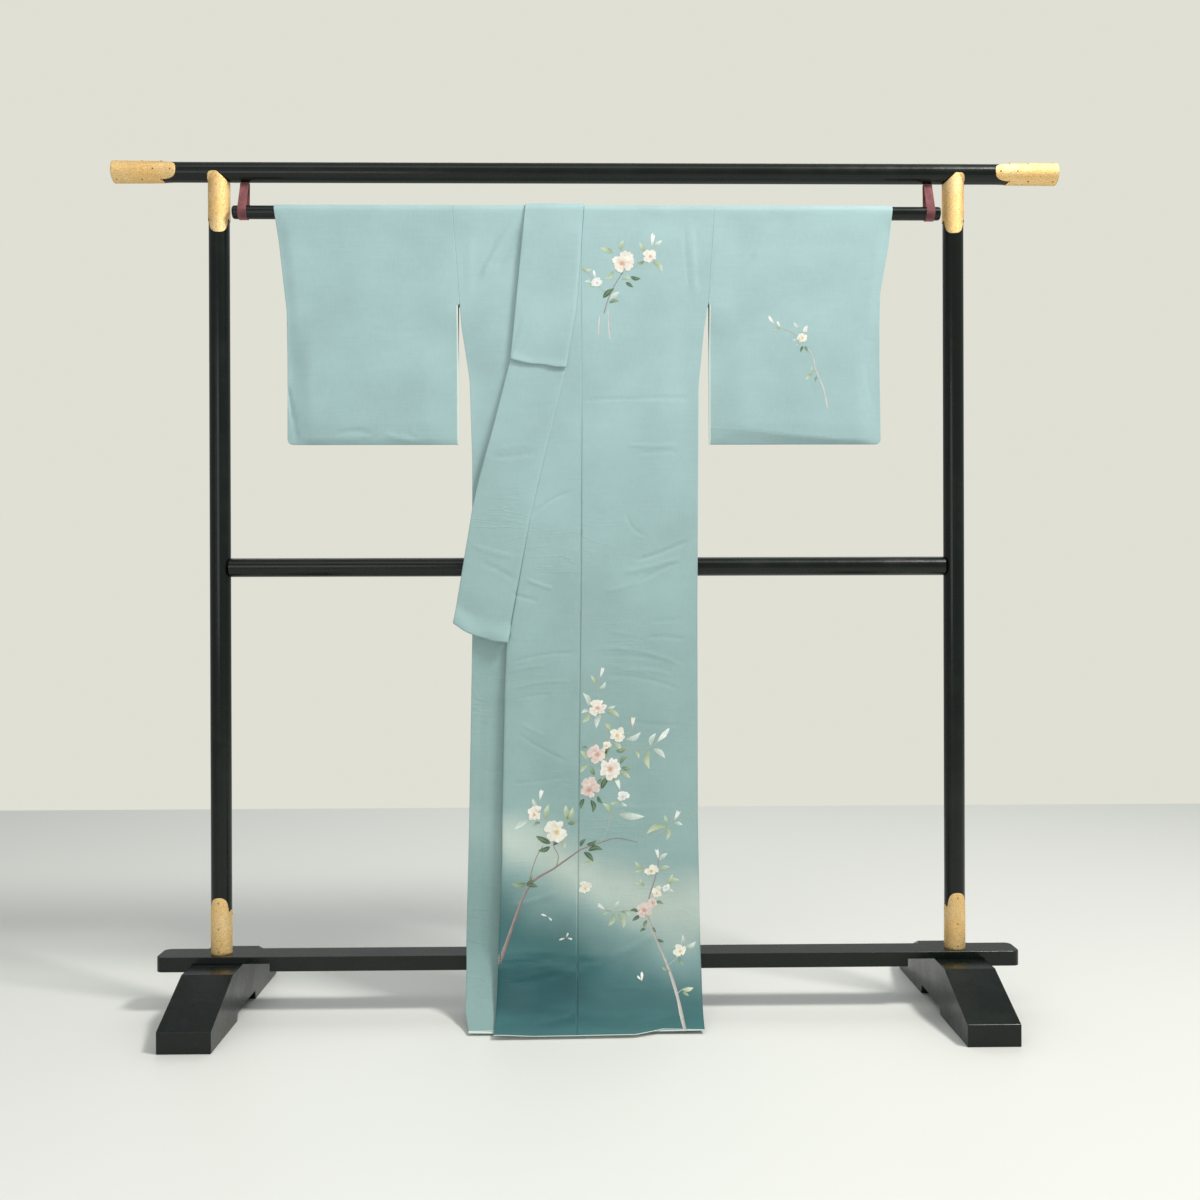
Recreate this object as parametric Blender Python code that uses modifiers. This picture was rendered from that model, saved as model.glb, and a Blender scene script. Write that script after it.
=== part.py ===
# A silk kimono hung by a rod on a lacquered kimono stand.
# Metres, +Z up. The origin is on the floor at the stand's centre, and the garment's front faces -Y.
# Right and left are the wearer's, so the garment's left side is at +X.

import math

import bmesh
import bpy
from mathutils import Vector

# Cloth
WALL = 0.0012
SEAM_GAP = 0.0003
NECK_LEVEL = 1.46  # the fronts and backs hang free of the rod from here down
SHOULDER_LEVEL = 1.36  # the fronts have closer rows from here up, for their folds
SIDE_SHUT_LEVEL, SIDE_SHUT_REACH = 1.34, 0.05  # the side seam begins here and is shut this far below
SLEEVE_SEAM_LEVEL = 1.344  # the sleeve is sewn to the body down to here
BODY_WIDTH, SLEEVE_WIDTH = 0.25, 0.33
PLEAT_PITCH = 0.0024
NECK_X = -0.0120  # the closed neck, where the back's spare width folds in
CENTRE_BACK_X = -0.1000
SIDE_CLOSING = 0.022  # how far from a side seam the front and back begin to meet
CURL_RADIUS = 0.1406  # the hem's forward curl on the floor, at the outermost back ply
FLOOR_CLEARANCE = 0.0015
CURL_LEVEL = CURL_RADIUS + WALL / 2 + FLOOR_CLEARANCE
BACK_HEM_DEGREES = 80
RIGHT_HEM_DEGREES = 78
COLLAR_TAIL_LEVEL = 1.466
OVER_COLLAR_END = 1.2414
OVER_COLLAR_SLANT = 0.0171
COLLAR_END = 0.7409
COLLAR_END_SLANT = 0.0375
RIGHT_COLLAR_WIDTH = 0.052
MIRROR_X = -0.0120  # the hidden right pieces are the left ones turned over about this line
SLEEVE_BOTTOM = 1.0805
SLEEVE_CORNER = 0.010
CUFF_LEVEL, CUFF_SHUT_REACH = 1.335, 0.03  # the cuff's opening ends here and is sewn shut this far below
CUFF_SHUT_WIDTH = 0.05
SLEEVE_BESIDE = 0.06  # the width over which a sleeve comes to the depth of the body at their seam
SLEEVE_BESIDE_LEVEL = 1.28

# How far in front of the back's line each layer's middle lies, added to the stack's depth for front layers
BACK_RIGHT, BACK_LEFT = 0.0, 2 * PLEAT_PITCH
FRONT_LEFT, COLLAR_LEFT, OVER_COLLAR = 0.0, 0.0018, 0.0036
COLLAR_RIGHT, FRONT_RIGHT = -0.0018, -0.0036

# Stand
ROD_RADIUS, ROD_Y, ROD_Z, ROD_HALF = 0.0127, -0.0120, 1.5242, 0.6765
BEAM_RADIUS, BEAM_Z, BEAM_HALF = 0.0190, 1.6043, 0.9054
CAP_LENGTH, CAP_RADIUS, CAP_END_RADIUS, CAP_END_WALL = 0.115, 0.0203, 0.0212, 0.0025
POST_X, POST_RADIUS = 0.7055, 0.0195
FITTING_RADIUS, FITTING_BORE = 0.0208, 0.0198
TOP_FITTING_BOTTOM, TOP_FITTING_TOP = 1.4880, 1.6110
SADDLE_HALF, SADDLE_RADIUS = 0.0180, FITTING_RADIUS + 0.0001
FOOT_FITTING_TOP = 0.2150
RAIL_RADIUS, RAIL_Z = 0.0180, 0.8476
BOARD_HALF, BOARD_Y, BOARD_BOTTOM, BOARD_TOP, BOARD_CORNER = 0.8221, 0.0291, 0.0818, 0.1098, 0.012
FOOT_HALF_WIDTH, FOOT_TOP, FOOT_FLAT_Y, FOOT_REACH = 0.0474, 0.0964, 0.0914, 0.2241
FOOT_TOE, FOOT_RECESS_Y, FOOT_RECESS = 0.0392, 0.062, 0.0166
NOTCH_INNER_X, NOTCH_OUTER_X = 0.607, 0.7535
LOOP_X, LOOP_WIDTH, LOOP_WALL, LOOP_TOP_RADIUS, LOOP_STEPS = 0.6560, 0.0160, 0.0015, 0.0040, 36

# Borders of the cloth. Level is the height of the cloth, and runs on below CURL_LEVEL along the curl.
FALL = (  # level, y of the back's line, depth of the stack to the left front
    (NECK_LEVEL, -0.0006, 0.0275),
    (0.87, -0.0205, 0.0106),
    (CURL_LEVEL, -0.0325, 0.0106),
)
FOLDS = (  # start x and level, end x and level, half width, height towards the front
    (-0.143, 1.514, -0.205, 1.396, 0.026, 0.0050),
    (-0.166, 1.440, -0.186, 1.405, 0.018, 0.0025),
    (-0.226, 1.470, -0.228, 1.365, 0.020, 0.0020),
    (0.196, 1.507, 0.205, 1.363, 0.024, 0.0025),
)
RIGHT_SIDE = (  # level, x
    (1.531, -0.2581), (1.344, -0.2441), (1.298, -0.2401), (1.203, -0.2262), (1.050, -0.2215),
    (0.716, -0.2220), (0.369, -0.2283), (0.134, -0.2343), (0.017, -0.2311), (-0.037, -0.2199),
)
LEFT_SIDE = (  # level, x
    (1.532, 0.2410), (1.344, 0.2279), (1.295, 0.2201), (1.192, 0.2103), (0.783, 0.2059),
    (0.366, 0.2050), (0.080, 0.2092), (-0.041, 0.2055),
)
COLLAR_SEAM = (  # level, x
    (1.535, -0.0076), (1.335, -0.0225), (1.224, -0.0426), (0.936, -0.1117), (0.708, -0.1522),
)
FRONT_SEAM = ((1.460, -0.0086), (1.164, -0.0124), (0.784, -0.0154), (0.294, -0.0219), (-0.050, -0.0248))
OKUMI_EDGE = COLLAR_SEAM[1:] + (  # level, x
    (0.706, -0.1558), (0.616, -0.1598), (0.368, -0.1647), (0.295, -0.1650), (0.133, -0.1721),
    (-0.057, -0.1736),
)
COLLAR_EDGE = (  # level, x
    (1.535, -0.1188), (1.241, -0.1480), (1.126, -0.1775), (1.014, -0.2081), (0.964, -0.2196),
    (0.741, -0.2570),
)
LEFT_HEM = ((-0.174, 90.0), (-0.025, 88.5), (0.08, 87.5), (0.13, 79.0), (0.206, 80.0))  # x, degrees
RIGHT_CUFF = ((1.530, -0.5957), (1.459, -0.5859), (1.385, -0.5778), (1.332, -0.5719), (1.080, -0.5724))
LEFT_CUFF = (
    (1.532, 0.5824), (1.461, 0.5754), (1.412, 0.5664), (1.366, 0.5585), (1.308, 0.5573), (1.080, 0.5601),
)
RIGHT_FURI_X, LEFT_FURI_X = -0.2475, 0.2304
SLEEVE_FILL = (  # level, y of the sleeve's middle, half the distance between its plies
    (ROD_Z, ROD_Y, 0.0136),
    (NECK_LEVEL, -0.0125, 0.0118),
    (1.344, -0.0145, 0.0098),
    (1.200, -0.0155, 0.0075),
    (1.120, -0.0158, 0.0055),
    (SLEEVE_BOTTOM, -0.0160, WALL / 2 + 0.0002),
)

COLOURS = {  # base colour, roughness, metallic
    "silk": ((0.36, 0.54, 0.53, 1), 0.55, 0),
    "lacquer": ((0.012, 0.016, 0.014, 1), 0.2, 0),
    "gilt": ((0.72, 0.45, 0.16, 1), 0.35, 1),
    "velvet": ((0.20, 0.05, 0.06, 1), 0.9, 0),
}


def smooth(t):
    t = min(max(t, 0.0), 1.0)
    return t * t * (3 - 2 * t)


def mix(a, b, t):
    return a + (b - a) * t


def lookup(table, key, column=1):
    """The table's value at a key, between its rows in a straight line."""
    rows = sorted(table)
    if key <= rows[0][0]:
        return rows[0][column]
    for low, high in zip(rows, rows[1:]):
        if key <= high[0]:
            return mix(low[column], high[column], (key - low[0]) / (high[0] - low[0]))
    return rows[-1][column]


def steps(start, end, count):
    return [mix(start, end, i / count) for i in range(count + 1)]


def new_material(name):
    colour, roughness, metallic = COLOURS[name]
    material = bpy.data.materials.new(name)
    material.use_nodes = True
    shader = material.node_tree.nodes["Principled BSDF"]
    shader.inputs["Base Color"].default_value = colour
    shader.inputs["Roughness"].default_value = roughness
    shader.inputs["Metallic"].default_value = metallic
    return material


def place(obj, name, kind, collection=None):
    """Names the object, gives it its own material and moves it to the part's collection."""
    obj.name = name
    if kind:
        obj.data.materials.append(new_material(kind))
    for old in list(obj.users_collection):
        old.objects.unlink(obj)
    (collection or part).objects.link(obj)
    return obj


# Cloth: every piece is a grid laid on the garment's fall, then given its wall


TOP_LEVEL = ROD_Z + math.pi / 2 * ROD_RADIUS  # levels past the rod's middle run on round it


def fall_point(face, level, offset, lift=0.0):
    """(y, z) of the cloth: face is 1 in front, -1 behind, and lift is the cloth under it on the rod."""
    radius = ROD_RADIUS + SEAM_GAP + WALL / 2 + lift
    if level > ROD_Z:
        angle = (level - ROD_Z) / ROD_RADIUS
        return ROD_Y - face * radius * math.cos(angle), ROD_Z + radius * math.sin(angle)
    line = lookup(FALL, level)
    if level >= CURL_LEVEL:
        free = smooth((ROD_Z - level) / (ROD_Z - NECK_LEVEL))
        return mix(ROD_Y - face * radius, line - offset, free), level
    angle = (CURL_LEVEL - level) / (CURL_RADIUS - lookup(FALL, level, 2))
    radius = CURL_RADIUS - offset
    return line - CURL_RADIUS + radius * math.cos(angle), CURL_LEVEL - radius * math.sin(angle)


def curl_level(degrees):
    return CURL_LEVEL - math.radians(degrees) * (CURL_RADIUS - lookup(FALL, 0, 2))


def fold_height(x, level):
    """How far the folds raise the front at a place, the same on every layer."""
    height = 0.0
    for start_x, start_level, end_x, end_level, half_width, most in FOLDS:
        run, drop = end_x - start_x, end_level - start_level
        length = math.hypot(run, drop)
        along = ((x - start_x) * run + (level - start_level) * drop) / length**2
        aside = abs((x - start_x) * drop - (level - start_level) * run) / length
        height += most * smooth(1 - aside / half_width) * smooth(4 * along * (1 - along))
    return height


def front_offset(x, level, layer):
    return lookup(FALL, level, 2) + layer + fold_height(x, level)


def closed_offset(offset, level, from_side, back_offset):
    """Brings the front back to its own back ply along the side seam, below the armhole."""
    near = smooth(1 - from_side / SIDE_CLOSING) * smooth((SIDE_SHUT_LEVEL - level) / SIDE_SHUT_REACH)
    return mix(offset, back_offset + WALL + SEAM_GAP, near)


def sheet(name, columns, rows, point, kept=None):
    """A grid of cloth with its vertices moved to point(column, row), cut where kept says no, made solid."""
    across, along = len(columns) - 1, len(rows) - 1
    mesh = bmesh.new()
    bmesh.ops.create_grid(mesh, x_segments=across, y_segments=along, size=0.5)
    if kept:
        outside = []
        for face in mesh.faces:
            middle = face.calc_center_median()
            if not kept((middle.x + 0.5) * across, (middle.y + 0.5) * along):
                outside.append(face)
        bmesh.ops.delete(mesh, geom=outside, context="FACES")
    for vertex in mesh.verts:
        column = columns[round((vertex.co.x + 0.5) * across)]
        row = rows[round((vertex.co.y + 0.5) * along)]
        vertex.co = Vector(point(column, row))
    data = bpy.data.meshes.new(name)
    mesh.to_mesh(data)
    mesh.free()
    data.shade_smooth()
    obj = place(bpy.data.objects.new(name, data), name, "silk")
    solidify = obj.modifiers.new("wall", "SOLIDIFY")
    solidify.thickness = WALL
    solidify.offset = 0
    solidify.use_even_offset = True
    return obj


def column_shares(width, near, count):
    """Shares of a width: some close to its first edge, at the distances given, then even ones."""
    first = [distance / width for distance in near]
    return first + steps(first[-1], 1, count)[1:]


def front_rows(neck=NECK_LEVEL):
    """Levels from the hem up to the neck. Below CURL_LEVEL they are shares of the curl, as negatives."""
    curl = [-share for share in steps(1, 0, 10)][:-1]
    return curl + steps(CURL_LEVEL, SHOULDER_LEVEL, 12)[:-1] + steps(SHOULDER_LEVEL, neck, 5)


def row_level(row, degrees):
    return row if row > 0 else CURL_LEVEL - (CURL_LEVEL - curl_level(degrees)) * -row


def body(name, side, inner_front, layer, back_offset, hem_degrees, inner_back, extra):
    """One body panel: up the front, over the rod and down the back. The columns past 1 exist only behind."""
    shares = column_shares(BODY_WIDTH, (0, 0.008, 0.015, 0.023), 9)
    columns = shares + [1 + share for share in extra]
    front = [(1, row) for row in front_rows()]
    over = [(1, level) for level in steps(NECK_LEVEL, ROD_Z, 4)[1:] + steps(ROD_Z, TOP_LEVEL, 4)[1:]]
    behind = [(-1, row) for _, row in reversed(front + over[:-1])]
    rows = front + over + behind
    first_back = len(rows) - len(front)

    def point(share, row):
        face, step = row
        level = row_level(step, BACK_HEM_DEGREES)
        outer = lookup(side, level)
        if face < 0:
            x, offset = inner_back(share, outer, level)
            return x, *fall_point(face, level, offset)
        inner = inner_front(level)
        if step < 0:
            level = row_level(step, hem_degrees(mix(outer, inner, share)))
            outer, inner = lookup(side, level), inner_front(level)
        x = mix(outer, inner, min(share, 1))
        offset = closed_offset(front_offset(x, level, layer), level, abs(x - outer), back_offset)
        return x, *fall_point(face, level, offset)

    def kept(column, row):
        return column < len(shares) - 1 or row > first_back

    return sheet(name, columns, rows, point, kept)


def right_x(left_table):
    """An edge of a hidden right piece: the left one's, turned over."""
    return lambda level: 2 * MIRROR_X - lookup(left_table, level)


def right_front_edge(level):
    seam = COLLAR_SEAM if level > NECK_LEVEL else FRONT_SEAM
    return right_x(seam)(level) - SEAM_GAP / 2


def left_front_edge(level):
    return lookup(COLLAR_SEAM if level > NECK_LEVEL else FRONT_SEAM, level) + SEAM_GAP / 2


def pleated_back(share, outer, level):
    """The right back runs to the closed neck, turns in on itself and comes back to the centre seam."""
    turn = PLEAT_PITCH / 2
    edge = NECK_X - turn
    if share <= 1:
        return mix(outer, edge, share), BACK_RIGHT
    if share <= 2:
        angle = math.pi * (share - 1)
        return edge + turn * math.sin(angle), BACK_RIGHT + turn * (1 - math.cos(angle))
    return mix(edge, CENTRE_BACK_X, share - 2), BACK_RIGHT + PLEAT_PITCH


def plain_back(share, outer, level):
    """The left back runs on under the pleat to the centre seam."""
    inner = NECK_X if level < NECK_LEVEL + 0.01 else left_front_edge(level)
    if share <= 1:
        return mix(outer, inner, share), BACK_LEFT
    return mix(inner, CENTRE_BACK_X, share - 1), BACK_LEFT


def make_bodies():
    turn_shares = steps(0, 1, 4)[1:]
    body(
        "body_right", RIGHT_SIDE, right_front_edge, FRONT_RIGHT, BACK_RIGHT,
        lambda x: RIGHT_HEM_DEGREES, pleated_back, turn_shares + steps(1, 2, 2)[1:],
    )
    body(
        "body_left", LEFT_SIDE, left_front_edge, FRONT_LEFT, BACK_LEFT,
        lambda x: lookup(LEFT_HEM, x), plain_back, steps(0, 1, 2)[1:],
    )


def okumi(name, edge, seam, layer, hem_degrees):
    """An overlap panel, a long sliver at the neck that widens down to its free front edge."""
    rows = front_rows(NECK_LEVEL - 0.001)

    def point(share, row):
        level = row_level(row, hem_degrees(mix(edge(row), seam(row), share)))
        x = mix(edge(level), seam(level), share)
        return x, *fall_point(1, level, front_offset(x, level, layer))

    sheet(name, steps(0, 1, 3), rows, point)


def make_okumi():
    okumi(
        "okumi_left", lambda level: lookup(OKUMI_EDGE, level) + SEAM_GAP / 2,
        lambda level: lookup(FRONT_SEAM, level) - SEAM_GAP / 2, FRONT_LEFT, lambda x: lookup(LEFT_HEM, x),
    )
    okumi(
        "okumi_right", right_x(OKUMI_EDGE),
        lambda level: right_x(FRONT_SEAM)(level) + SEAM_GAP / 2, FRONT_RIGHT, lambda x: RIGHT_HEM_DEGREES,
    )


def collar(name, end, slant, layer, lift, along):
    """The opened left collar: a tail behind the neck, over the rod, then down the front to a slanted end."""
    tail = [(-1, level) for level in steps(COLLAR_TAIL_LEVEL, ROD_Z, 3)[:-1]]
    up = [(-1, level) for level in steps(ROD_Z, TOP_LEVEL, 4)]
    over = [(1, level) for level in steps(TOP_LEVEL, ROD_Z, 4)[1:]]
    down = [(1, level) for level in steps(ROD_Z, NECK_LEVEL, 4)[1:]]
    rows = tail + up + over + down + [(0, share) for share in steps(0, 1, along)[1:]]

    def point(share, row):
        face, level = row
        if face == 0:
            face, level = 1, mix(NECK_LEVEL, end - slant * share, level)
        edge = lookup(COLLAR_EDGE, level)
        seam = lookup(COLLAR_SEAM, level) - SEAM_GAP / 2
        x = mix(edge, seam, share)
        offset = -lift if face < 0 else front_offset(x, level, layer)
        return x, *fall_point(face, level, offset, lift)

    sheet(name, steps(0, 1, 6), rows, point)


def make_collars():
    layer_pitch = WALL + 0.0004
    collar("collar_left", COLLAR_END, COLLAR_END_SLANT, COLLAR_LEFT, layer_pitch, 16)
    collar("over_collar", OVER_COLLAR_END, OVER_COLLAR_SLANT, OVER_COLLAR, 2 * layer_pitch, 8)
    seam = right_x(COLLAR_SEAM)

    def point(share, level):
        x = seam(level) + share * RIGHT_COLLAR_WIDTH
        return x, *fall_point(1, level, front_offset(x, level, COLLAR_RIGHT))

    sheet("collar_right", steps(0, 1, 2), steps(COLLAR_END, NECK_LEVEL, 9), point)


def sleeve(name, cuff, furi_x, side, body_front, body_back):
    """A flat tube round the rod, open at the cuff and at its inner edge, and sewn shut below the cuff."""
    columns = column_shares(SLEEVE_WIDTH, (0, 0.003, 0.010, 0.030, 0.060), 8)
    down = [("down", share) for share in steps(1, 0, 10)]
    over = [("over", level) for level in steps(NECK_LEVEL, ROD_Z, 4)[1:] + steps(ROD_Z, TOP_LEVEL, 4)[1:]]
    rows = [(1, *row) for row in down + over] + [(-1, *row) for row in reversed(down + over[:-1])]

    def point(share, row):
        face, stretch, step = row
        level = step
        if stretch == "down":
            from_cuff = share * SLEEVE_WIDTH
            rise = max(SLEEVE_CORNER - from_cuff, 0)
            bottom = SLEEVE_BOTTOM + SLEEVE_CORNER - math.sqrt(SLEEVE_CORNER**2 - rise**2)
            level = mix(NECK_LEVEL, bottom, step)
        outer = lookup(cuff, level)
        away = 1 if outer > 0 else -1
        sewn_x = lookup(side, level) + away * SEAM_GAP
        inner = sewn_x if level > SLEEVE_SEAM_LEVEL else furi_x
        x = mix(outer, inner, share)
        if level > ROD_Z:
            return x, *fall_point(face, level, 0)
        middle, half = lookup(SLEEVE_FILL, level, 1), lookup(SLEEVE_FILL, level, 2)
        shut = smooth((CUFF_LEVEL - level) / CUFF_SHUT_REACH) * smooth(1 - abs(x - outer) / CUFF_SHUT_WIDTH)
        half = mix(half, SLEEVE_FILL[-1][2], shut)
        own = middle - face * half
        offset = front_offset(inner, level, body_front) if face > 0 else body_back
        beside = smooth(1 - abs(x - inner) / SLEEVE_BESIDE)
        beside *= smooth((level - SLEEVE_BESIDE_LEVEL) / (SLEEVE_SEAM_LEVEL - SLEEVE_BESIDE_LEVEL))
        return x, mix(own, fall_point(face, level, offset)[0], beside), level

    sheet(name, columns, rows, point)


def make_sleeves():
    sleeve("sleeve_right", RIGHT_CUFF, RIGHT_FURI_X, RIGHT_SIDE, FRONT_RIGHT, BACK_RIGHT)
    sleeve("sleeve_left", LEFT_CUFF, LEFT_FURI_X, LEFT_SIDE, FRONT_LEFT, BACK_LEFT)


# Stand


def cylinder(name, kind, radius, length, location, along_x=False, bevel=0.0, collection=None):
    bpy.ops.mesh.primitive_cylinder_add(
        vertices=32, radius=radius, depth=length, location=location, rotation=(0, math.pi / 2 * along_x, 0)
    )
    obj = place(bpy.context.object, name, kind, collection)
    obj.data.shade_smooth()
    obj.data.set_sharp_from_angle(angle=math.radians(40))
    if bevel:
        rounding = obj.modifiers.new("rounding", "BEVEL")
        rounding.width = bevel
        rounding.segments = 3
        rounding.limit_method = "ANGLE"
    return obj


def box(name, kind, low, high, corner=0.0, collection=None):
    mesh = bmesh.new()
    bmesh.ops.create_cube(mesh, size=1)
    size = Vector(high) - Vector(low)
    bmesh.ops.scale(mesh, vec=size, verts=mesh.verts)
    if corner:
        upright = [edge for edge in mesh.edges if abs(edge.verts[0].co.z - edge.verts[1].co.z) > size.z / 2]
        bmesh.ops.bevel(mesh, geom=upright, offset=corner, segments=4, profile=0.5, affect="EDGES")
    data = bpy.data.meshes.new(name)
    mesh.to_mesh(data)
    mesh.free()
    obj = place(bpy.data.objects.new(name, data), name, kind, collection)
    obj.location = (Vector(low) + Vector(high)) / 2
    return obj


def cut(obj, tool, operation="DIFFERENCE"):
    tool.hide_render = True
    tool.display_type = "WIRE"
    change = obj.modifiers.new(tool.name, "BOOLEAN")
    change.operation = operation
    change.object = tool


def turned(name, kind, profile, location, rotation):
    """A solid of revolution. The profile's (radius, height) rows run down its outer side from the top."""
    mesh = bmesh.new()
    points = [mesh.verts.new((radius, 0, height)) for radius, height in profile]
    for start, end in zip(points, points[1:]):
        mesh.edges.new((start, end))
    data = bpy.data.meshes.new(name)
    mesh.to_mesh(data)
    mesh.free()
    obj = place(bpy.data.objects.new(name, data), name, kind)
    obj.location = location
    obj.rotation_euler = rotation
    screw = obj.modifiers.new("turning", "SCREW")
    screw.steps = screw.render_steps = 32
    screw.use_merge_vertices = True
    screw.merge_threshold = 0.00001
    screw.use_smooth_shade = True
    return obj


def make_beam():
    beam_end = BEAM_HALF - CAP_END_WALL - SEAM_GAP
    cylinder("top_beam", "lacquer", BEAM_RADIUS, 2 * beam_end, (0, 0, BEAM_Z), along_x=True)
    bore = BEAM_RADIUS + SEAM_GAP
    profile = (
        (0, CAP_LENGTH), (CAP_END_RADIUS, CAP_LENGTH), (CAP_RADIUS, 0), (bore, 0),
        (bore, CAP_LENGTH - CAP_END_WALL), (0, CAP_LENGTH - CAP_END_WALL),
    )
    for side, sign in (("right", -1), ("left", 1)):
        inner_end = (sign * (BEAM_HALF - CAP_LENGTH), 0, BEAM_Z)
        turned(f"beam_cap_{side}", "gilt", profile, inner_end, (0, sign * math.pi / 2, 0))


def make_post(side, x):
    bottom, top = BOARD_TOP + SEAM_GAP, BEAM_Z - BEAM_RADIUS - SEAM_GAP
    cylinder(f"post_{side}", "lacquer", POST_RADIUS, top - bottom, (x, 0, (top + bottom) / 2))

    # A sleeve on the post with a saddle that holds the beam
    height = BEAM_Z - TOP_FITTING_BOTTOM
    middle = (x, 0, BEAM_Z - height / 2)
    on_beam = (x, 0, BEAM_Z)
    below = (x, 0, middle[2] - BEAM_RADIUS)
    fitting = cylinder(f"post_top_fitting_{side}", "gilt", FITTING_RADIUS, height, middle)
    saddle = cylinder(
        f"saddle_{side}", None, SADDLE_RADIUS, 2 * SADDLE_HALF, on_beam, True, collection=cutters
    )
    post_bore = cylinder(f"post_bore_{side}", None, FITTING_BORE, height, below, collection=cutters)
    beam_bore = cylinder(
        f"beam_bore_{side}", None, BEAM_RADIUS + SEAM_GAP, 0.2, on_beam, True, collection=cutters
    )
    above = box(
        f"above_{side}", None, (x - 0.1, -0.1, TOP_FITTING_TOP), (x + 0.1, 0.1, BEAM_Z + 0.1),
        collection=cutters,
    )
    cut(fitting, saddle, "UNION")
    for tool in (post_bore, beam_bore, above):
        cut(fitting, tool)

    foot_fitting = cylinder(
        f"post_foot_fitting_{side}", "gilt", FITTING_RADIUS, FOOT_FITTING_TOP - bottom,
        (x, 0, (FOOT_FITTING_TOP + bottom) / 2),
    )
    foot_bore = cylinder(f"foot_bore_{side}", None, FITTING_BORE, 0.3, (x, 0, 0.15), collection=cutters)
    cut(foot_fitting, foot_bore)


def make_board():
    low, high = (-BOARD_HALF, -BOARD_Y, BOARD_BOTTOM), (BOARD_HALF, BOARD_Y, BOARD_TOP)
    board = box("base_board", "lacquer", low, high, BOARD_CORNER)
    for side, sign in (("right", -1), ("left", 1)):
        near, far = sorted((sign * NOTCH_INNER_X, sign * NOTCH_OUTER_X))
        notch = box(
            f"notch_{side}", None, (near, -0.1, 0), (far, 0.1, FOOT_TOP + SEAM_GAP), collection=cutters
        )
        cut(board, notch)


def make_foot(side, x):
    """A foot's side outline, drawn flat and raised to its width."""
    half = (
        (FOOT_FLAT_Y, FOOT_TOP), (FOOT_REACH, FOOT_TOE), (FOOT_REACH, 0),
        (FOOT_RECESS_Y, 0), (FOOT_RECESS_Y - 0.004, FOOT_RECESS),
    )
    outline = list(half) + [(-y, z) for y, z in reversed(half)]
    curve = bpy.data.curves.new(f"foot_{side}", "CURVE")
    curve.dimensions = "2D"
    curve.fill_mode = "BOTH"
    curve.extrude = FOOT_HALF_WIDTH
    spline = curve.splines.new("POLY")
    spline.points.add(len(outline) - 1)
    spline.use_cyclic_u = True
    for spot, (y, z) in zip(spline.points, outline):
        spot.co = (y, z, 0, 1)
    foot = place(bpy.data.objects.new(f"foot_{side}", curve), f"foot_{side}", "lacquer")
    foot.location = (x, 0, 0)
    foot.rotation_euler = (math.pi / 2, 0, math.pi / 2)
    weld = foot.modifiers.new("weld", "WELD")
    weld.merge_threshold = 0.00001
    rounding = foot.modifiers.new("rounding", "BEVEL")
    rounding.width = 0.0015
    rounding.segments = 2
    rounding.limit_method = "ANGLE"


def make_loop(side, x):
    """A velvet band under the beam and round the rod, its points on the circle that is outer that way."""
    gap = SEAM_GAP + LOOP_WALL / 2
    top_z = BEAM_Z - BEAM_RADIUS - gap - LOOP_TOP_RADIUS
    rounds = ((0, top_z, LOOP_TOP_RADIUS), (ROD_Y, ROD_Z, ROD_RADIUS + gap))
    mesh = bmesh.new()
    bmesh.ops.create_cone(
        mesh, cap_ends=False, segments=LOOP_STEPS, radius1=1, radius2=1, depth=LOOP_WIDTH
    )
    for vertex in mesh.verts:
        facing = Vector((vertex.co.x, vertex.co.y)).normalized()
        y, z, radius = max(rounds, key=lambda r: r[0] * facing.x + r[1] * facing.y + r[2])
        vertex.co = (x + vertex.co.z, y + radius * facing.x, z + radius * facing.y)
    data = bpy.data.meshes.new(f"rod_loop_{side}")
    mesh.to_mesh(data)
    mesh.free()
    data.shade_smooth()
    loop = place(bpy.data.objects.new(f"rod_loop_{side}", data), f"rod_loop_{side}", "velvet")
    solidify = loop.modifiers.new("wall", "SOLIDIFY")
    solidify.thickness = LOOP_WALL
    solidify.offset = 0
    solidify.use_even_offset = True


def make_stand():
    make_beam()
    rail_half = POST_X - POST_RADIUS - SEAM_GAP
    cylinder("middle_rail", "lacquer", RAIL_RADIUS, 2 * rail_half, (0, 0, RAIL_Z), along_x=True)
    cylinder("rod", "lacquer", ROD_RADIUS, 2 * ROD_HALF, (0, ROD_Y, ROD_Z), along_x=True, bevel=0.004)
    make_board()
    for side, sign in (("right", -1), ("left", 1)):
        make_post(side, sign * POST_X)
        make_foot(side, sign * POST_X)
        make_loop(side, sign * LOOP_X)


for old in list(bpy.data.objects):
    bpy.data.objects.remove(old, do_unlink=True)
part = bpy.data.collections.new("silk_kimono_on_a_stand")
cutters = bpy.data.collections.new("cutters")
for collection in (part, cutters):
    bpy.context.scene.collection.children.link(collection)
make_stand()
make_sleeves()
make_bodies()
make_okumi()
make_collars()
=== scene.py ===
import math

import bmesh
import bpy
from mathutils import Matrix, Vector, noise
from mathutils.bvhtree import BVHTree


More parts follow.
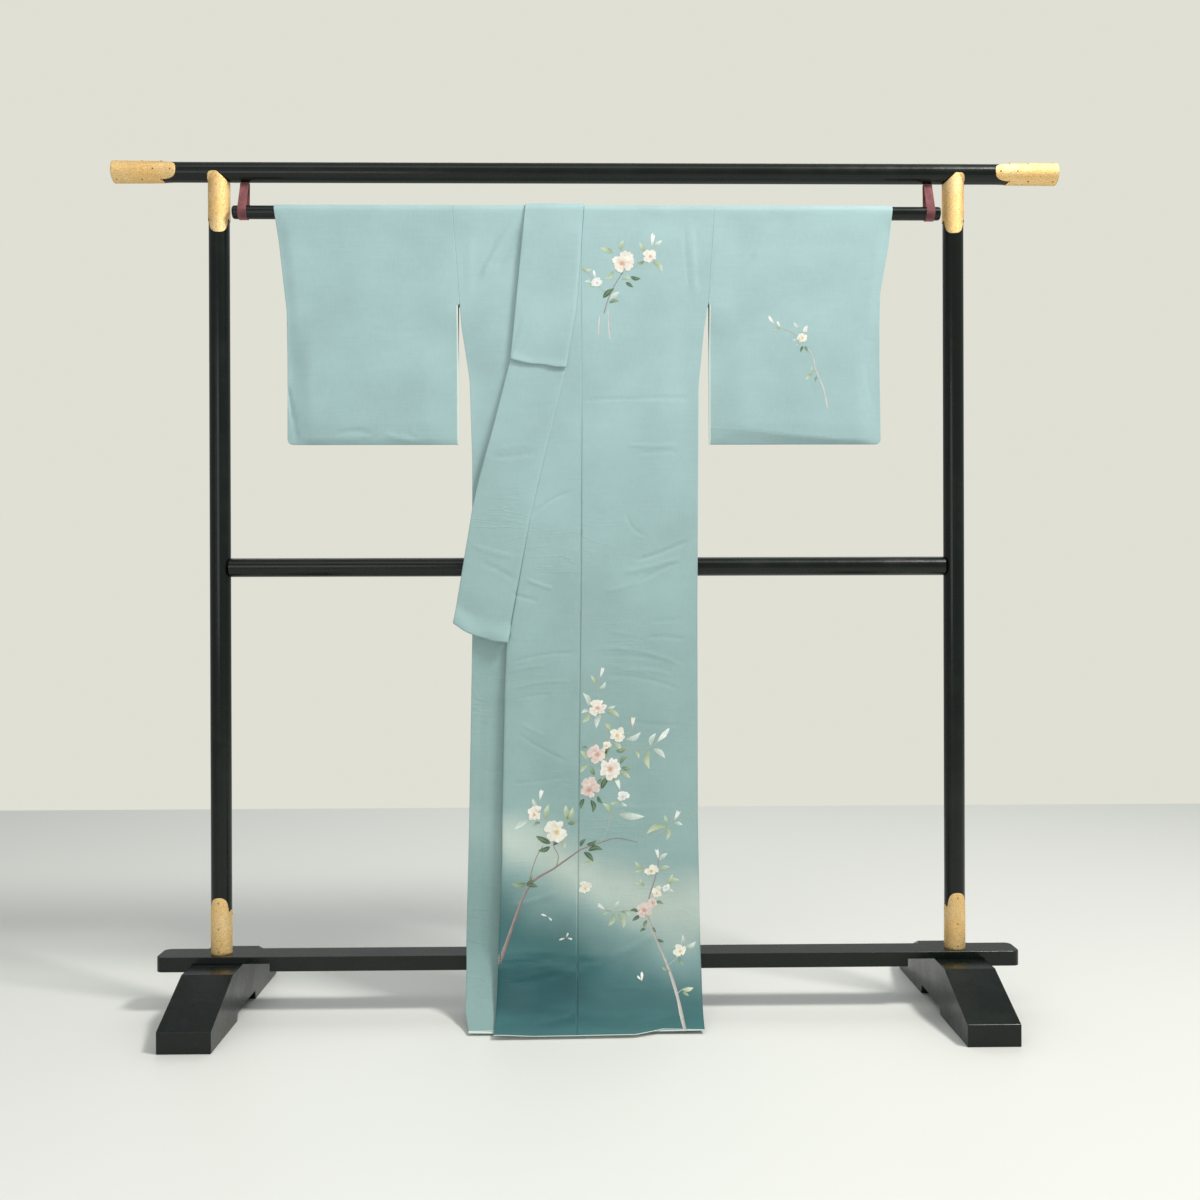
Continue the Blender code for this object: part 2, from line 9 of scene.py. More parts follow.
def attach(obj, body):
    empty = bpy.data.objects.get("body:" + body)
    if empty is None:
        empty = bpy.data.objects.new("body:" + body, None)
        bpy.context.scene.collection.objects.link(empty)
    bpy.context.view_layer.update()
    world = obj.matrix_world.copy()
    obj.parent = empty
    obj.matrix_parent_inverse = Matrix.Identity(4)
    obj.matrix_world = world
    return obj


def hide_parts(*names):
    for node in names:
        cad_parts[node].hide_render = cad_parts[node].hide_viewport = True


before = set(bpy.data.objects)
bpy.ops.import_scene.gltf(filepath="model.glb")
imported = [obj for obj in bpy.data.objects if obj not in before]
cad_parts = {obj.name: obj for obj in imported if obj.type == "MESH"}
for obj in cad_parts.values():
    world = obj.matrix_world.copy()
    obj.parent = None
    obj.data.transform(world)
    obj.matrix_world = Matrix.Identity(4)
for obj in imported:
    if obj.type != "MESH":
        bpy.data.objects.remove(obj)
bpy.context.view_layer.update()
scene = bpy.context.scene


def smooth(t):
    t = min(max(t, 0.0), 1.0)
    return t * t * (3 - 2 * t)


def mix(a, b, t):
    return a + (b - a) * t


def lookup(table, key, column=1):
    # the table's rows run upwards in their first column
    if key <= table[0][0]:
        return table[0][column]
    for low, high in zip(table, table[1:]):
        if key <= high[0]:
            return mix(low[column], high[column], (key - low[0]) / (high[0] - low[0]))
    return table[-1][column]


def steps(start, end, count):
    return [mix(start, end, i / count) for i in range(count + 1)]


def newObject(name, mesh, materials):
    data = bpy.data.meshes.new(name)
    mesh.to_mesh(data)
    mesh.free()
    made = bpy.data.objects.new(name, data)
    scene.collection.objects.link(made)
    for material in materials:
        data.materials.append(material)
    return made


def finishPiece(mesh, name, materials, replaced=()):
    piece = newObject(name, mesh, materials)
    piece.data.shade_smooth()
    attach(piece, "root")
    if replaced:
        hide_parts(*replaced)
    return piece


# Shader helpers
def setInputs(tree, node, values):
    for name, value in values.items():
        socket = node.inputs[name]
        if isinstance(value, bpy.types.NodeSocket):
            tree.links.new(value, socket)
        else:
            socket.default_value = value


def addNode(tree, kind, inputs=None, **settings):
    node = tree.nodes.new(kind)
    for name, value in settings.items():
        setattr(node, name, value)
    setInputs(tree, node, inputs or {})
    return node


def addMath(tree, operation, first, second=0.0, third=0.0):
    return addNode(tree, "ShaderNodeMath", {0: first, 1: second, 2: third}, operation=operation).outputs[0]


def addStretch(tree, vector, factors):
    return addNode(tree, "ShaderNodeVectorMath", {0: vector, 1: factors}, operation="MULTIPLY").outputs[0]


def addBlend(tree, amount, first, second, how="MIX"):
    inputs = {0: amount, 6: first, 7: second}
    return addNode(tree, "ShaderNodeMix", inputs, data_type="RGBA", blend_type=how).outputs[2]


def addRange(tree, value, low, high, toLow=0.0, toHigh=1.0):
    inputs = {"Value": value, "From Min": low, "From Max": high, "To Min": toLow, "To Max": toHigh}
    return addNode(tree, "ShaderNodeMapRange", inputs, interpolation_type="SMOOTHSTEP").outputs[0]


def addNoise(tree, vector, scale, detail=2.0, roughness=0.5):
    inputs = {"Vector": vector, "Scale": scale, "Detail": detail, "Roughness": roughness}
    return addNode(tree, "ShaderNodeTexNoise", inputs).outputs[0]


def newGroup(name, inputs, outputs):
    group = bpy.data.node_groups.new(name, "ShaderNodeTree")
    for socketName, kind, value in inputs:
        socket = group.interface.new_socket(socketName, in_out="INPUT", socket_type=kind)
        if value is not None:
            socket.default_value = value
    for socketName, kind in outputs:
        group.interface.new_socket(socketName, in_out="OUTPUT", socket_type=kind)
    return group, group.nodes.new("NodeGroupInput").outputs, group.nodes.new("NodeGroupOutput").inputs


def newMaterial(name, roughness, metallic=0.0):
    material = bpy.data.materials.new(name)
    material.use_nodes = True
    tree = material.node_tree
    shader = tree.nodes["Principled BSDF"]
    setInputs(tree, shader, {"Roughness": roughness, "Metallic": metallic})
    return material, tree, shader


def addPlace(tree):
    # where on the piece, in metres
    return addNode(tree, "ShaderNodeTexCoord").outputs["Object"]


def addLay(tree):
    # where on the cloth: x, level and how much painted shade darkens it, beside seams and on the left
    # sleeve's lower band
    return addNode(tree, "ShaderNodeAttribute", attribute_name="lay").outputs["Vector"]


def addBump(tree, shader, height, distance):
    bump = addNode(tree, "ShaderNodeBump", {"Height": height, "Distance": distance, "Strength": 1.0})
    tree.links.new(bump.outputs[0], shader.inputs["Normal"])


# Camera, light and floor
studio = {
    "cameraAt": (-0.0161, -2.30, 0.7872),
    "lens": 35.85,
    "sensorWidth": 36,
    "turnRight": 0.928,
    "tiltDown": 0.091,
    "roll": 0.1735,
    "floorColour": (0.80, 0.81, 0.775, 1),
    "floorRoughness": 0.42,
    "wallColour": (0.745, 0.745, 0.665, 1),
    "roomColour": (0.96, 0.98, 0.96, 1),
    "roomStrength": 0.40,
    "floorSize": 9.0,
    "floorBehind": 2.2,
}


def makeCamera():
    camera = bpy.data.objects.new("camera", bpy.data.cameras.new("camera"))
    scene.collection.objects.link(camera)
    camera.data.lens = studio["lens"]
    camera.data.sensor_width = studio["sensorWidth"]
    turn = Matrix.Rotation(math.radians(-studio["turnRight"]), 4, "Z")
    tilt = Matrix.Rotation(math.radians(90 - studio["tiltDown"]), 4, "X")
    roll = Matrix.Rotation(math.radians(-studio["roll"]), 4, "Z")
    camera.matrix_world = Matrix.Translation(studio["cameraAt"]) @ turn @ tilt @ roll
    scene.camera = camera


def addAreaLight(name, place, target, width, height, power, colour):
    light = bpy.data.lights.new(name, "AREA")
    light.shape = "RECTANGLE"
    light.size = width
    light.size_y = height
    light.energy = power
    light.color = colour
    lamp = bpy.data.objects.new(name, light)
    scene.collection.objects.link(lamp)
    lamp.location = place
    lamp.rotation_euler = (Vector(target) - Vector(place)).to_track_quat("-Z", "Y").to_euler()


def makeLights():
    warm, cool = (1.0, 0.98, 0.94), (0.96, 0.99, 1.0)
    addAreaLight("key", (2.5, -1.60, 4.5), (0, 0, 0.75), 1.0, 0.7, 182, warm)
    addAreaLight("fill", (-1.2, -2.6, 1.2), (0, 0, 0.6), 1.2, 1.2, 9, cool)
    addAreaLight("ceiling", (0, -1.3, 3.2), (0, -0.6, 0), 3.0, 1.4, 16, warm)
    addAreaLight("behind", (0, 2.4, 3.0), (0, 1.2, 0), 3.6, 2.0, 22, cool)
    world = bpy.data.worlds.new("room")
    world.use_nodes = True
    tree = world.node_tree
    seen = addNode(tree, "ShaderNodeLightPath").outputs["Is Camera Ray"]
    # the room looks brighter than the light that it gives
    colour = addBlend(tree, seen, studio["roomColour"], studio["wallColour"])
    strength = addMath(tree, "MULTIPLY_ADD", seen, 1 - studio["roomStrength"], studio["roomStrength"])
    setInputs(tree, tree.nodes["Background"], {"Color": colour, "Strength": strength})
    scene.world = world
    scene.view_settings.view_transform = "Standard"


def makeFloor():
    material, tree, shader = newMaterial("pale floor", studio["floorRoughness"])
    setInputs(tree, shader, {"Base Color": studio["floorColour"]})
    mesh = bmesh.new()
    bmesh.ops.create_grid(mesh, x_segments=1, y_segments=1, size=studio["floorSize"] / 2)
    floor = newObject("floor", mesh, [material])
    floor.location.y = studio["floorBehind"] - studio["floorSize"] / 2


# Silk
silk = {
    "upper": (0.372, 0.545, 0.556, 1),
    "lower": (0.296, 0.444, 0.436, 1),
    "mist": (0.560, 0.655, 0.590, 1),
    "dusk": (0.060, 0.174, 0.178, 1),
    # the darkest dye, with painted shade added for the upper curl
    "deepDyeAndShade": (0.010, 0.077, 0.087, 1),
    "hem": (0.040, 0.146, 0.156, 1),
    "lining": (0.66, 0.76, 0.71, 1),
    "groundLevels": (0.45, 1.35),  # between the lower colour and the upper
    "dyeLevel": 0.155,  # where the dark dye begins at the middle of the front
    "dyeSlope": -0.47,
    "dyeSlopeEnd": 0.14,
    "dyeSoftness": 0.075,
    "drift": 0.11,
    "mistAbove": 0.105,
    "mistSoftness": 0.085,
    "mistStrength": 0.85,
    "hemLevels": (-0.05, 0.04),  # between the hem colour and the deep one
    "duskLevels": (0.06, 0.13),  # between the deep colour and the dusk one
    "leftDuskX": (-0.06, 0.05),  # towards the left the dusk colour comes in lower
    "leftDuskLevels": (-0.04, 0.10),
    "wispStretch": (2.0, 9.0, 1.0),
    "wisps": 0.16,
    "mottle": (0.44, 1.21),  # the weave's mottle goes from the first to the second
    "clouds": (0.90, 1.08),
    "liningClouds": (0.94, 1.04),
    "darkestPaintedShade": 0.70,
    "roughness": 0.62,
    "liningRoughness": 0.5,
    "specular": 0.35,
    "sheen": 0.22,
    "sheenRoughness": 0.45,
}
weave = {
    "pebbleStretch": (1.0, 0.55, 0.0),
    "pebbleScale": 820.0,
    "weftWaves": 5200.0,
    "weftShare": 0.06,
    "wrinkleStretch": (7.0, 30.0, 0.0),
    "wrinkleWidth": 0.034,
    "wrinkleHeight": 0.9,
    "wrinkleLevels": (1.15, 0.95),  # hairline wrinkles fade in between these, going down
    "patchScale": 4.2,
    "patches": (0.45, 0.66),
    "cloudScale": 7.0,
    "warpStretch": (1.0, 0.22, 0.0),
    "warpScale": 260.0,
    "warpShare": 0.35,
    "slubStretch": (14.0, 210.0, 0.0),
    "slubShare": 0.30,
    "depth": 0.00028,
    "liningDepth": 0.0001,
}


def makeWeaveGroup():
    # crepe: uneven pebbled threads, finer across than along, with patches of hairline wrinkles
    group, given, result = newGroup(
        "crepe weave",
        [("Lay", "NodeSocketVector", None)],
        [("Height", "NodeSocketFloat"), ("Mottle", "NodeSocketFloat")],
    )
    lay = given["Lay"]
    level = addNode(group, "ShaderNodeSeparateXYZ", {0: lay}).outputs[1]
    pebbles = addNoise(group, addStretch(group, lay, weave["pebbleStretch"]), weave["pebbleScale"], 3.0, 0.6)
    weft = addMath(group, "SINE", addMath(group, "MULTIPLY", level, weave["weftWaves"]))
    pebbled = addMath(group, "MULTIPLY_ADD", weft, weave["weftShare"], pebbles)
    drawn = addNoise(group, addStretch(group, lay, weave["wrinkleStretch"]), 1.0, 3.0, 0.5)
    wander = addMath(group, "ABSOLUTE", addMath(group, "SUBTRACT", drawn, 0.5))
    lines = addRange(group, wander, weave["wrinkleWidth"], 0.0, 0.0, weave["wrinkleHeight"])
    patches = addRange(group, addNoise(group, lay, weave["patchScale"], 1.0, 0.5), *weave["patches"])
    low = addMath(group, "MULTIPLY", patches, addRange(group, level, *weave["wrinkleLevels"]))
    wrinkles = addMath(group, "MULTIPLY", lines, low)
    group.links.new(addMath(group, "ADD", pebbled, wrinkles), result["Height"])
    broad = addNoise(group, lay, weave["cloudScale"], 3.0, 0.55)
    warp = addNoise(group, addStretch(group, lay, weave["warpStretch"]), weave["warpScale"], 3.0, 0.65)
    slubs = addNoise(group, addStretch(group, lay, weave["slubStretch"]), 1.0, 3.0, 0.6)
    warped = addMath(group, "MULTIPLY", warp, weave["warpShare"])
    threads = addMath(group, "MULTIPLY_ADD", slubs, weave["slubShare"], warped)
    group.links.new(addMath(group, "ADD", broad, threads), result["Mottle"])
    return group


def makeDyeGroup():
    # the ground colour: paler at the shoulders, a misty band low down and dark dye below it, its darkest
    # band on the upper curl holding painted shade as well as dye
    group, given, result = newGroup(
        "hem dye",
        [("Lay", "NodeSocketVector", None), ("Dye", "NodeSocketFloat", 1.0)],
        [("Color", "NodeSocketColor")],
    )
    lay = given["Lay"]
    split = addNode(group, "ShaderNodeSeparateXYZ", {0: lay})
    across, level = split.outputs[0], split.outputs[1]
    ground = addBlend(group, addRange(group, level, *silk["groundLevels"]), silk["lower"], silk["upper"])
    cloud = addMath(group, "SUBTRACT", addNoise(group, lay, 6.0, 2.0, 0.5), 0.5)
    drift = addMath(group, "MULTIPLY_ADD", cloud, silk["drift"], level)
    sloping = addMath(group, "MINIMUM", across, silk["dyeSlopeEnd"])
    slope = addMath(group, "MULTIPLY", sloping, silk["dyeSlope"])
    above = addMath(group, "SUBTRACT", addMath(group, "SUBTRACT", drift, slope), silk["dyeLevel"])
    fromMist = addMath(group, "ABSOLUTE", addMath(group, "SUBTRACT", above, silk["mistAbove"]))
    mist = addMath(group, "MULTIPLY", addRange(group, fromMist, silk["mistSoftness"], 0.0), given["Dye"])
    misty = addBlend(group, addMath(group, "MULTIPLY", mist, silk["mistStrength"]), ground, silk["mist"])
    drawn = addNoise(group, addStretch(group, lay, silk["wispStretch"]), 2.2, 3.0, 0.55)
    streak = addMath(group, "SUBTRACT", drawn, 0.5)
    wisps = addMath(group, "MULTIPLY_ADD", streak, silk["wisps"], level)
    low = addBlend(group, addRange(group, wisps, *silk["hemLevels"]), silk["hem"], silk["deepDyeAndShade"])
    leftOut = addRange(group, across, *silk["leftDuskX"], 0, 0.8)
    leftOut = addMath(group, "MULTIPLY", leftOut, addRange(group, wisps, *silk["leftDuskLevels"], 0.3, 1.0))
    leaving = addMath(group, "MAXIMUM", addRange(group, wisps, *silk["duskLevels"]), leftOut)
    dark = addBlend(group, leaving, low, silk["dusk"])
    darkAmount = addRange(group, above, silk["dyeSoftness"], -silk["dyeSoftness"])
    dyed = addBlend(group, addMath(group, "MULTIPLY", darkAmount, given["Dye"]), misty, dark)
    group.links.new(dyed, result["Color"])
    return group


weaveGroup = makeWeaveGroup()
dyeGroup = makeDyeGroup()


def addWeave(tree, shader, lay, depth):
    woven = addNode(tree, "ShaderNodeGroup", {"Lay": lay}, node_tree=weaveGroup)
    addBump(tree, shader, woven.outputs["Height"], depth)
    return woven.outputs["Mottle"]


def makeSilk(name, dye):
    material, tree, shader = newMaterial(name, silk["roughness"])
    lay = addLay(tree)
    mottle = addWeave(tree, shader, lay, weave["depth"])
    ground = addNode(tree, "ShaderNodeGroup", {"Lay": lay, "Dye": dye}, node_tree=dyeGroup).outputs["Color"]
    clouds = addRange(tree, mottle, *silk["mottle"], *silk["clouds"])
    # the lay's third value is painted shade, beside seams and on the left sleeve's lower band, and darkens
    # the colour
    seam = addNode(tree, "ShaderNodeSeparateXYZ", {0: lay}).outputs[2]
    shade = addRange(tree, seam, 0.0, 1.0, 1.0, silk["darkestPaintedShade"])
    colour = addBlend(tree, 1.0, addBlend(tree, 1.0, ground, clouds, "MULTIPLY"), shade, "MULTIPLY")
    setInputs(tree, shader, {
        "Base Color": colour,
        "Sheen Weight": silk["sheen"],
        "Sheen Roughness": silk["sheenRoughness"],
        "Specular IOR Level": silk["specular"],
    })
    return material


def makeLining():
    material, tree, shader = newMaterial("lining silk", silk["liningRoughness"])
    lay = addLay(tree)
    mottle = addWeave(tree, shader, lay, weave["liningDepth"])
    clouds = addRange(tree, mottle, *silk["mottle"], *silk["liningClouds"])
    setInputs(tree, shader, {"Base Color": addBlend(tree, 1.0, silk["lining"], clouds, "MULTIPLY")})
    return material


# Cloth. A place on it is (x, level): level is its height, and runs on along the curl and round the rod.
fall = {
    "wall": 0.0012,
    "seamGap": 0.0003,
    "joinGap": 0.00002,
    "collarStep": 0.0010,
    "neckLevel": 1.46,
    "sideOpenLevel": 1.338,  # the sides are open for a hand's length under the sleeves
    "sideOpening": 0.15,
    "sideClosing": 0.080,
    "sleeveSeamLevel": 1.344,
    "pleatPitch": 0.0024,
    "neckX": -0.012,
    "centreBackX": -0.100,
    "mirrorX": -0.012,
    "curlRadius": 0.1406,
    "floorClearance": 0.0015,
    "hemPressed": 0.45,  # the plies lie closer together on the floor
    "pressedFrom": 0.55,  # radians along the curl
    "pressedReach": 0.75,
    "backHemDegrees": 80,
    "backDyeFade": 0.26,  # how far the dye sinks towards the middle of the back
    "rightHemDegrees": 78,
    "creaseSteepness": 0.45,  # how wide a crease's upper side is, as a share of its lower one
    "sag": 0.0016,
    "backSagShare": 0.5,
    "rodRadius": 0.0127,
    "rodY": -0.0120,
    "rodZ": 1.5242,
}
curlLevel = fall["curlRadius"] + fall["wall"] / 2 + fall["floorClearance"]
topLevel = fall["rodZ"] + math.pi / 2 * fall["rodRadius"]
backLine = [  # level, the back's y, how far the front lies before the back
    (curlLevel, -0.0325, 0.0106), (0.87, -0.0205, 0.0106), (1.46, -0.0006, 0.0275),
]
layers = {  # how far before its own line, the back's or the front's, the middle of each piece lies
    "backRight": 0.0,
    "backLeft": 2 * fall["pleatPitch"],
    "frontLeft": 0.0,
    "collarLeft": 0.0018,
    "overCollar": 0.0036,
    "collarRight": -0.0018,
    "frontRight": -0.0036,
}
rightSide = [
    (-0.037, -0.2199), (0.017, -0.2311), (0.134, -0.2343), (0.369, -0.2283), (0.716, -0.2220),
    (1.050, -0.2215), (1.203, -0.2262), (1.298, -0.2401), (1.344, -0.2441), (1.531, -0.2581),
]
leftSide = [
    (-0.041, 0.2055), (0.080, 0.2092), (0.366, 0.2050), (0.783, 0.2059), (1.192, 0.2103),
    (1.295, 0.2201), (1.344, 0.2279), (1.532, 0.2410),
]
collarSeam = [(0.708, -0.1522), (0.936, -0.1117), (1.224, -0.0426), (1.335, -0.0225), (1.535, -0.0076)]
frontSeam = [(-0.050, -0.0248), (0.294, -0.0219), (0.784, -0.0154), (1.164, -0.0124), (1.460, -0.0129)]
okumiEdge = [
    (-0.057, -0.1736), (0.133, -0.1721), (0.295, -0.1650), (0.368, -0.1647), (0.616, -0.1598),
    (0.706, -0.1558),
] + collarSeam[:-1]
collarEdge = [
    (0.741, -0.2570), (0.964, -0.2196), (1.014, -0.2081), (1.126, -0.1775), (1.241, -0.1480),
    (1.535, -0.1188),
]
leftHem = [(-0.174, 90.0), (-0.025, 88.5), (0.08, 87.5), (0.13, 79.0), (0.206, 80.0)]  # x, degrees of curl
rightCuff = [(1.080, -0.5724), (1.332, -0.5719), (1.385, -0.5778), (1.459, -0.5859), (1.530, -0.5957)]
leftCuff = [
    (1.080, 0.5601), (1.308, 0.5573), (1.366, 0.5585), (1.412, 0.5664), (1.461, 0.5754), (1.532, 0.5824),
]
sleeveFill = [  # level, y of the sleeve's middle, half the distance between its plies
    (1.0805, -0.0160, 0.0008), (1.0900, -0.0160, 0.0048), (1.1190, -0.0158, 0.0070),
    (1.200, -0.0155, 0.0082), (1.344, -0.0145, 0.0098), (1.46, -0.0125, 0.0118), (1.5242, -0.0120, 0.0136),
]
okumiStand = [  # level, how far the left okumi's free edge stands forward
    (-0.06, 0.007), (0.02, 0.0115), (0.30, 0.0110), (0.62, 0.0060), (0.80, 0.0030), (1.00, 0.0),
]

# Folds and creases: start x and level, end x and level, sideways bow, half width, height towards the viewer
largeFolds = [
    (-0.130, 1.518, -0.206, 1.392, 0.003, 0.010, 0.0034),
    (-0.128, 1.502, -0.176, 1.412, -0.002, 0.008, -0.0024),
    (-0.226, 1.480, -0.229, 1.350, 0.000, 0.014, 0.0009),
    (0.196, 1.512, 0.205, 1.355, 0.000, 0.016, 0.0010),
]
frontCreases = [
    (-0.128, 1.458, -0.168, 1.392, 0.002, 0.006, 0.0008),
    (-0.120, 1.330, -0.150, 1.230, -0.003, 0.009, 0.0009),
    (0.184, 1.500, 0.194, 1.372, 0.002, 0.006, -0.0005),
    (0.232, 1.480, 0.226, 1.380, 0.002, 0.007, -0.0005),
    (-0.020, 1.163, 0.205, 1.168, -0.002, 0.006, -0.0008),
    (-0.148, 1.150, -0.060, 1.156, 0.002, 0.006, -0.0005),
    (0.070, 1.080, 0.170, 1.079, 0.003, 0.006, 0.0009),
    (0.095, 1.063, 0.175, 1.066, -0.002, 0.006, -0.0008),
    (-0.190, 1.058, -0.095, 1.067, 0.004, 0.007, -0.0013),
    (-0.180, 1.074, -0.105, 1.080, 0.002, 0.006, 0.0008),
    (-0.226, 0.892, -0.140, 0.866, 0.003, 0.007, 0.0010),
    (-0.208, 0.858, -0.136, 0.820, -0.003, 0.006, -0.0013),
    (-0.122, 0.826, -0.066, 0.806, 0.002, 0.007, 0.0012),
    (-0.112, 0.938, -0.034, 0.990, -0.008, 0.007, -0.0011),
    (0.082, 0.858, 0.190, 0.899, 0.004, 0.008, -0.0017),
    (0.060, 0.836, 0.176, 0.866, 0.003, 0.009, 0.0014),
    (0.090, 0.816, 0.176, 0.856, -0.004, 0.007, -0.0012),
    (0.028, 0.800, 0.096, 0.822, 0.003, 0.007, 0.0010),
    (-0.150, 0.800, -0.096, 0.783, 0.002, 0.007, -0.0011),
    (0.072, 0.950, 0.112, 0.905, 0.010, 0.006, -0.0008),
    (0.118, 0.744, 0.178, 0.751, 0.003, 0.006, -0.0006),
    (0.105, 0.712, 0.185, 0.709, -0.003, 0.006, -0.0010),
    (0.040, 0.725, 0.100, 0.719, 0.002, 0.006, 0.0006),
    (0.010, 0.692, 0.182, 0.656, -0.013, 0.006, 0.0009),
    (0.024, 0.676, 0.130, 0.670, -0.005, 0.006, -0.0008),
    (0.018, 0.640, 0.176, 0.612, -0.010, 0.006, -0.0009),
    (0.066, 0.652, 0.160, 0.640, -0.004, 0.006, 0.0008),
    (0.060, 0.560, 0.180, 0.548, 0.005, 0.006, -0.0008),
    (-0.156, 0.664, -0.024, 0.684, -0.006, 0.006, -0.0008),
    (-0.154, 0.648, -0.080, 0.660, -0.003, 0.006, 0.0008),
    (-0.152, 0.616, -0.030, 0.630, -0.005, 0.006, 0.0007),
    (-0.136, 0.598, -0.070, 0.606, -0.002, 0.006, -0.0007),
    (-0.138, 0.536, -0.040, 0.478, 0.004, 0.006, -0.0009),
    (-0.130, 0.552, -0.086, 0.530, 0.002, 0.006, 0.0008),
    (-0.150, 0.440, -0.040, 0.452, 0.004, 0.006, -0.0006),
    (0.010, 0.400, 0.150, 0.392, 0.005, 0.006, 0.0006),
    (-0.218, 0.640, -0.176, 0.646, 0.002, 0.006, -0.0010),
    (-0.222, 0.470, -0.182, 0.462, 0.002, 0.006, -0.0007),
    (-0.150, 0.210, -0.060, 0.235, 0.004, 0.014, 0.0012),
    (0.020, 0.105, 0.130, 0.160, 0.006, 0.016, 0.0014),
    (-0.160, 0.062, -0.040, 0.088, 0.006, 0.018, -0.0018),
    (-0.118, -0.026, -0.022, 0.008, 0.003, 0.008, -0.0044),
    (-0.020, 0.004, 0.060, 0.000, -0.003, 0.012, 0.0014),
    (0.060, -0.026, 0.210, 0.022, 0.005, 0.010, -0.0044),
    (0.030, 0.052, 0.120, 0.048, -0.004, 0.009, 0.0010),
    (-0.224, 0.008, -0.176, -0.009, 0.002, 0.007, -0.0022),
    (-0.214, 0.036, -0.180, 0.020, 0.002, 0.007, 0.0014),
    (-0.206, 0.640, -0.208, 0.080, 0.003, 0.012, -0.0010),
]
backCreases = [
    (-0.180, 1.480, -0.060, 1.420, 0.006, 0.020, -0.0018),
    (0.060, 1.470, 0.170, 1.400, 0.005, 0.018, -0.0016),
    (-0.210, 1.165, 0.190, 1.160, 0.003, 0.006, -0.0011),
    (-0.190, 0.900, -0.060, 0.868, 0.004, 0.008, -0.0012),
    (0.030, 0.880, 0.170, 0.905, -0.004, 0.008, -0.0012),
    (-0.200, 0.702, -0.040, 0.694, -0.006, 0.007, -0.0012),
    (0.010, 0.640, 0.160, 0.628, 0.007, 0.007, -0.0013),
    (-0.180, 0.455, 0.010, 0.448, 0.005, 0.007, -0.0009),
    (-0.140, 0.300, -0.060, 0.190, 0.008, 0.014, -0.0016),
    (0.060, 0.280, 0.150, 0.160, -0.006, 0.014, -0.0016),
]
sleeveCreases = [
    (-0.571, 1.196, -0.551, 1.083, 0.002, 0.007, -0.0024),
    (-0.480, 1.100, -0.410, 1.101, -0.006, 0.009, -0.0016),
    (-0.440, 1.092, -0.396, 1.096, 0.003, 0.006, -0.0010),
    (-0.392, 1.104, -0.310, 1.088, 0.005, 0.008, 0.0014),
    (-0.350, 1.108, -0.318, 1.088, 0.003, 0.006, -0.0010),
    (-0.420, 1.300, -0.300, 1.296, 0.002, 0.007, -0.0004),
    (0.368, 1.505, 0.312, 1.428, 0.006, 0.010, 0.0012),
    (0.388, 1.500, 0.352, 1.452, 0.003, 0.008, -0.0006),
    (0.520, 1.394, 0.560, 1.404, 0.002, 0.006, -0.0005),
    (0.524, 1.284, 0.552, 1.276, 0.003, 0.006, -0.0006),
    (0.532, 1.240, 0.546, 1.150, 0.002, 0.008, -0.0007),
    (0.450, 1.340, 0.340, 1.230, 0.008, 0.014, 0.0006),
]


def creaseHeight(table, x, level):
    # a crease is steeper on its upper side
    height = 0.0
    for startX, startLevel, endX, endLevel, bow, halfWidth, most in table:
        run, rise = endX - startX, endLevel - startLevel
        length = math.hypot(run, rise)
        along = ((x - startX) * run + (level - startLevel) * rise) / length**2
        if not 0 < along < 1:
            continue
        middle = 4 * along * (1 - along)
        aside = ((x - startX) * rise - (level - startLevel) * run) / length - bow * middle
        width = halfWidth if aside * run > 0 else halfWidth * fall["creaseSteepness"]
        if abs(aside) < width:
            height += most * smooth(1 - abs(aside) / width) * smooth(1.6 * middle)
    return height


def sag(x, level, seed):
    # the slow waves of cloth that hangs free
    return fall["sag"] * noise.noise(Vector((x * 7, level * 3.2, seed)))


def frontRelief(x, level):
    calm = smooth((level + 0.09) / 0.05)
    return creaseHeight(largeFolds + frontCreases, x, level) + sag(x, level, 3.1) * calm


def backRelief(x, level):
    near = smooth((level - 0.02) / 0.05)
    creases = creaseHeight(backCreases, x, level)
    return -(creases - fall["backSagShare"] * abs(sag(x, level, 8.4))) * near


def fallPoint(face, level, offset, lift=0.0):
    # y and z of the cloth: face is 1 in front and -1 behind, lift is the cloth under it on the rod
    radius = fall["rodRadius"] + fall["seamGap"] + fall["wall"] / 2 + lift
    if level > fall["rodZ"]:
        angle = (level - fall["rodZ"]) / fall["rodRadius"]
        return fall["rodY"] - face * radius * math.cos(angle), fall["rodZ"] + radius * math.sin(angle)
    line = lookup(backLine, level)
    if level >= curlLevel:
        free = smooth((fall["rodZ"] - level) / (fall["rodZ"] - fall["neckLevel"]))
        return mix(fall["rodY"] - face * radius, line - offset, free), level
    angle = (curlLevel - level) / (fall["curlRadius"] - lookup(backLine, level, 2))
    pressed = mix(1, fall["hemPressed"], smooth((angle - fall["pressedFrom"]) / fall["pressedReach"]))
    radius = fall["curlRadius"] - offset * pressed
    return line - fall["curlRadius"] + radius * math.cos(angle), curlLevel - radius * math.sin(angle)


def frontOffset(x, level, layer):
    return lookup(backLine, level, 2) + layer + frontRelief(x, level)


def rowLevel(row, degrees):
    # below the curl's start a row is a share of the curl, as a negative number
    if row > 0:
        return row
    return curlLevel + math.radians(degrees) * (fall["curlRadius"] - backLine[0][2]) * row


def closedOffset(offset, other, level, fromSide):
    # brings a ply half way to the other one along the side seam
    near = smooth(1 - fromSide / fall["sideClosing"])
    near *= smooth((fall["sideOpenLevel"] - level) / fall["sideOpening"])
    middle = (offset + other) / 2 + math.copysign((fall["wall"] + fall["seamGap"]) / 2, offset - other)
    return mix(offset, middle, near)
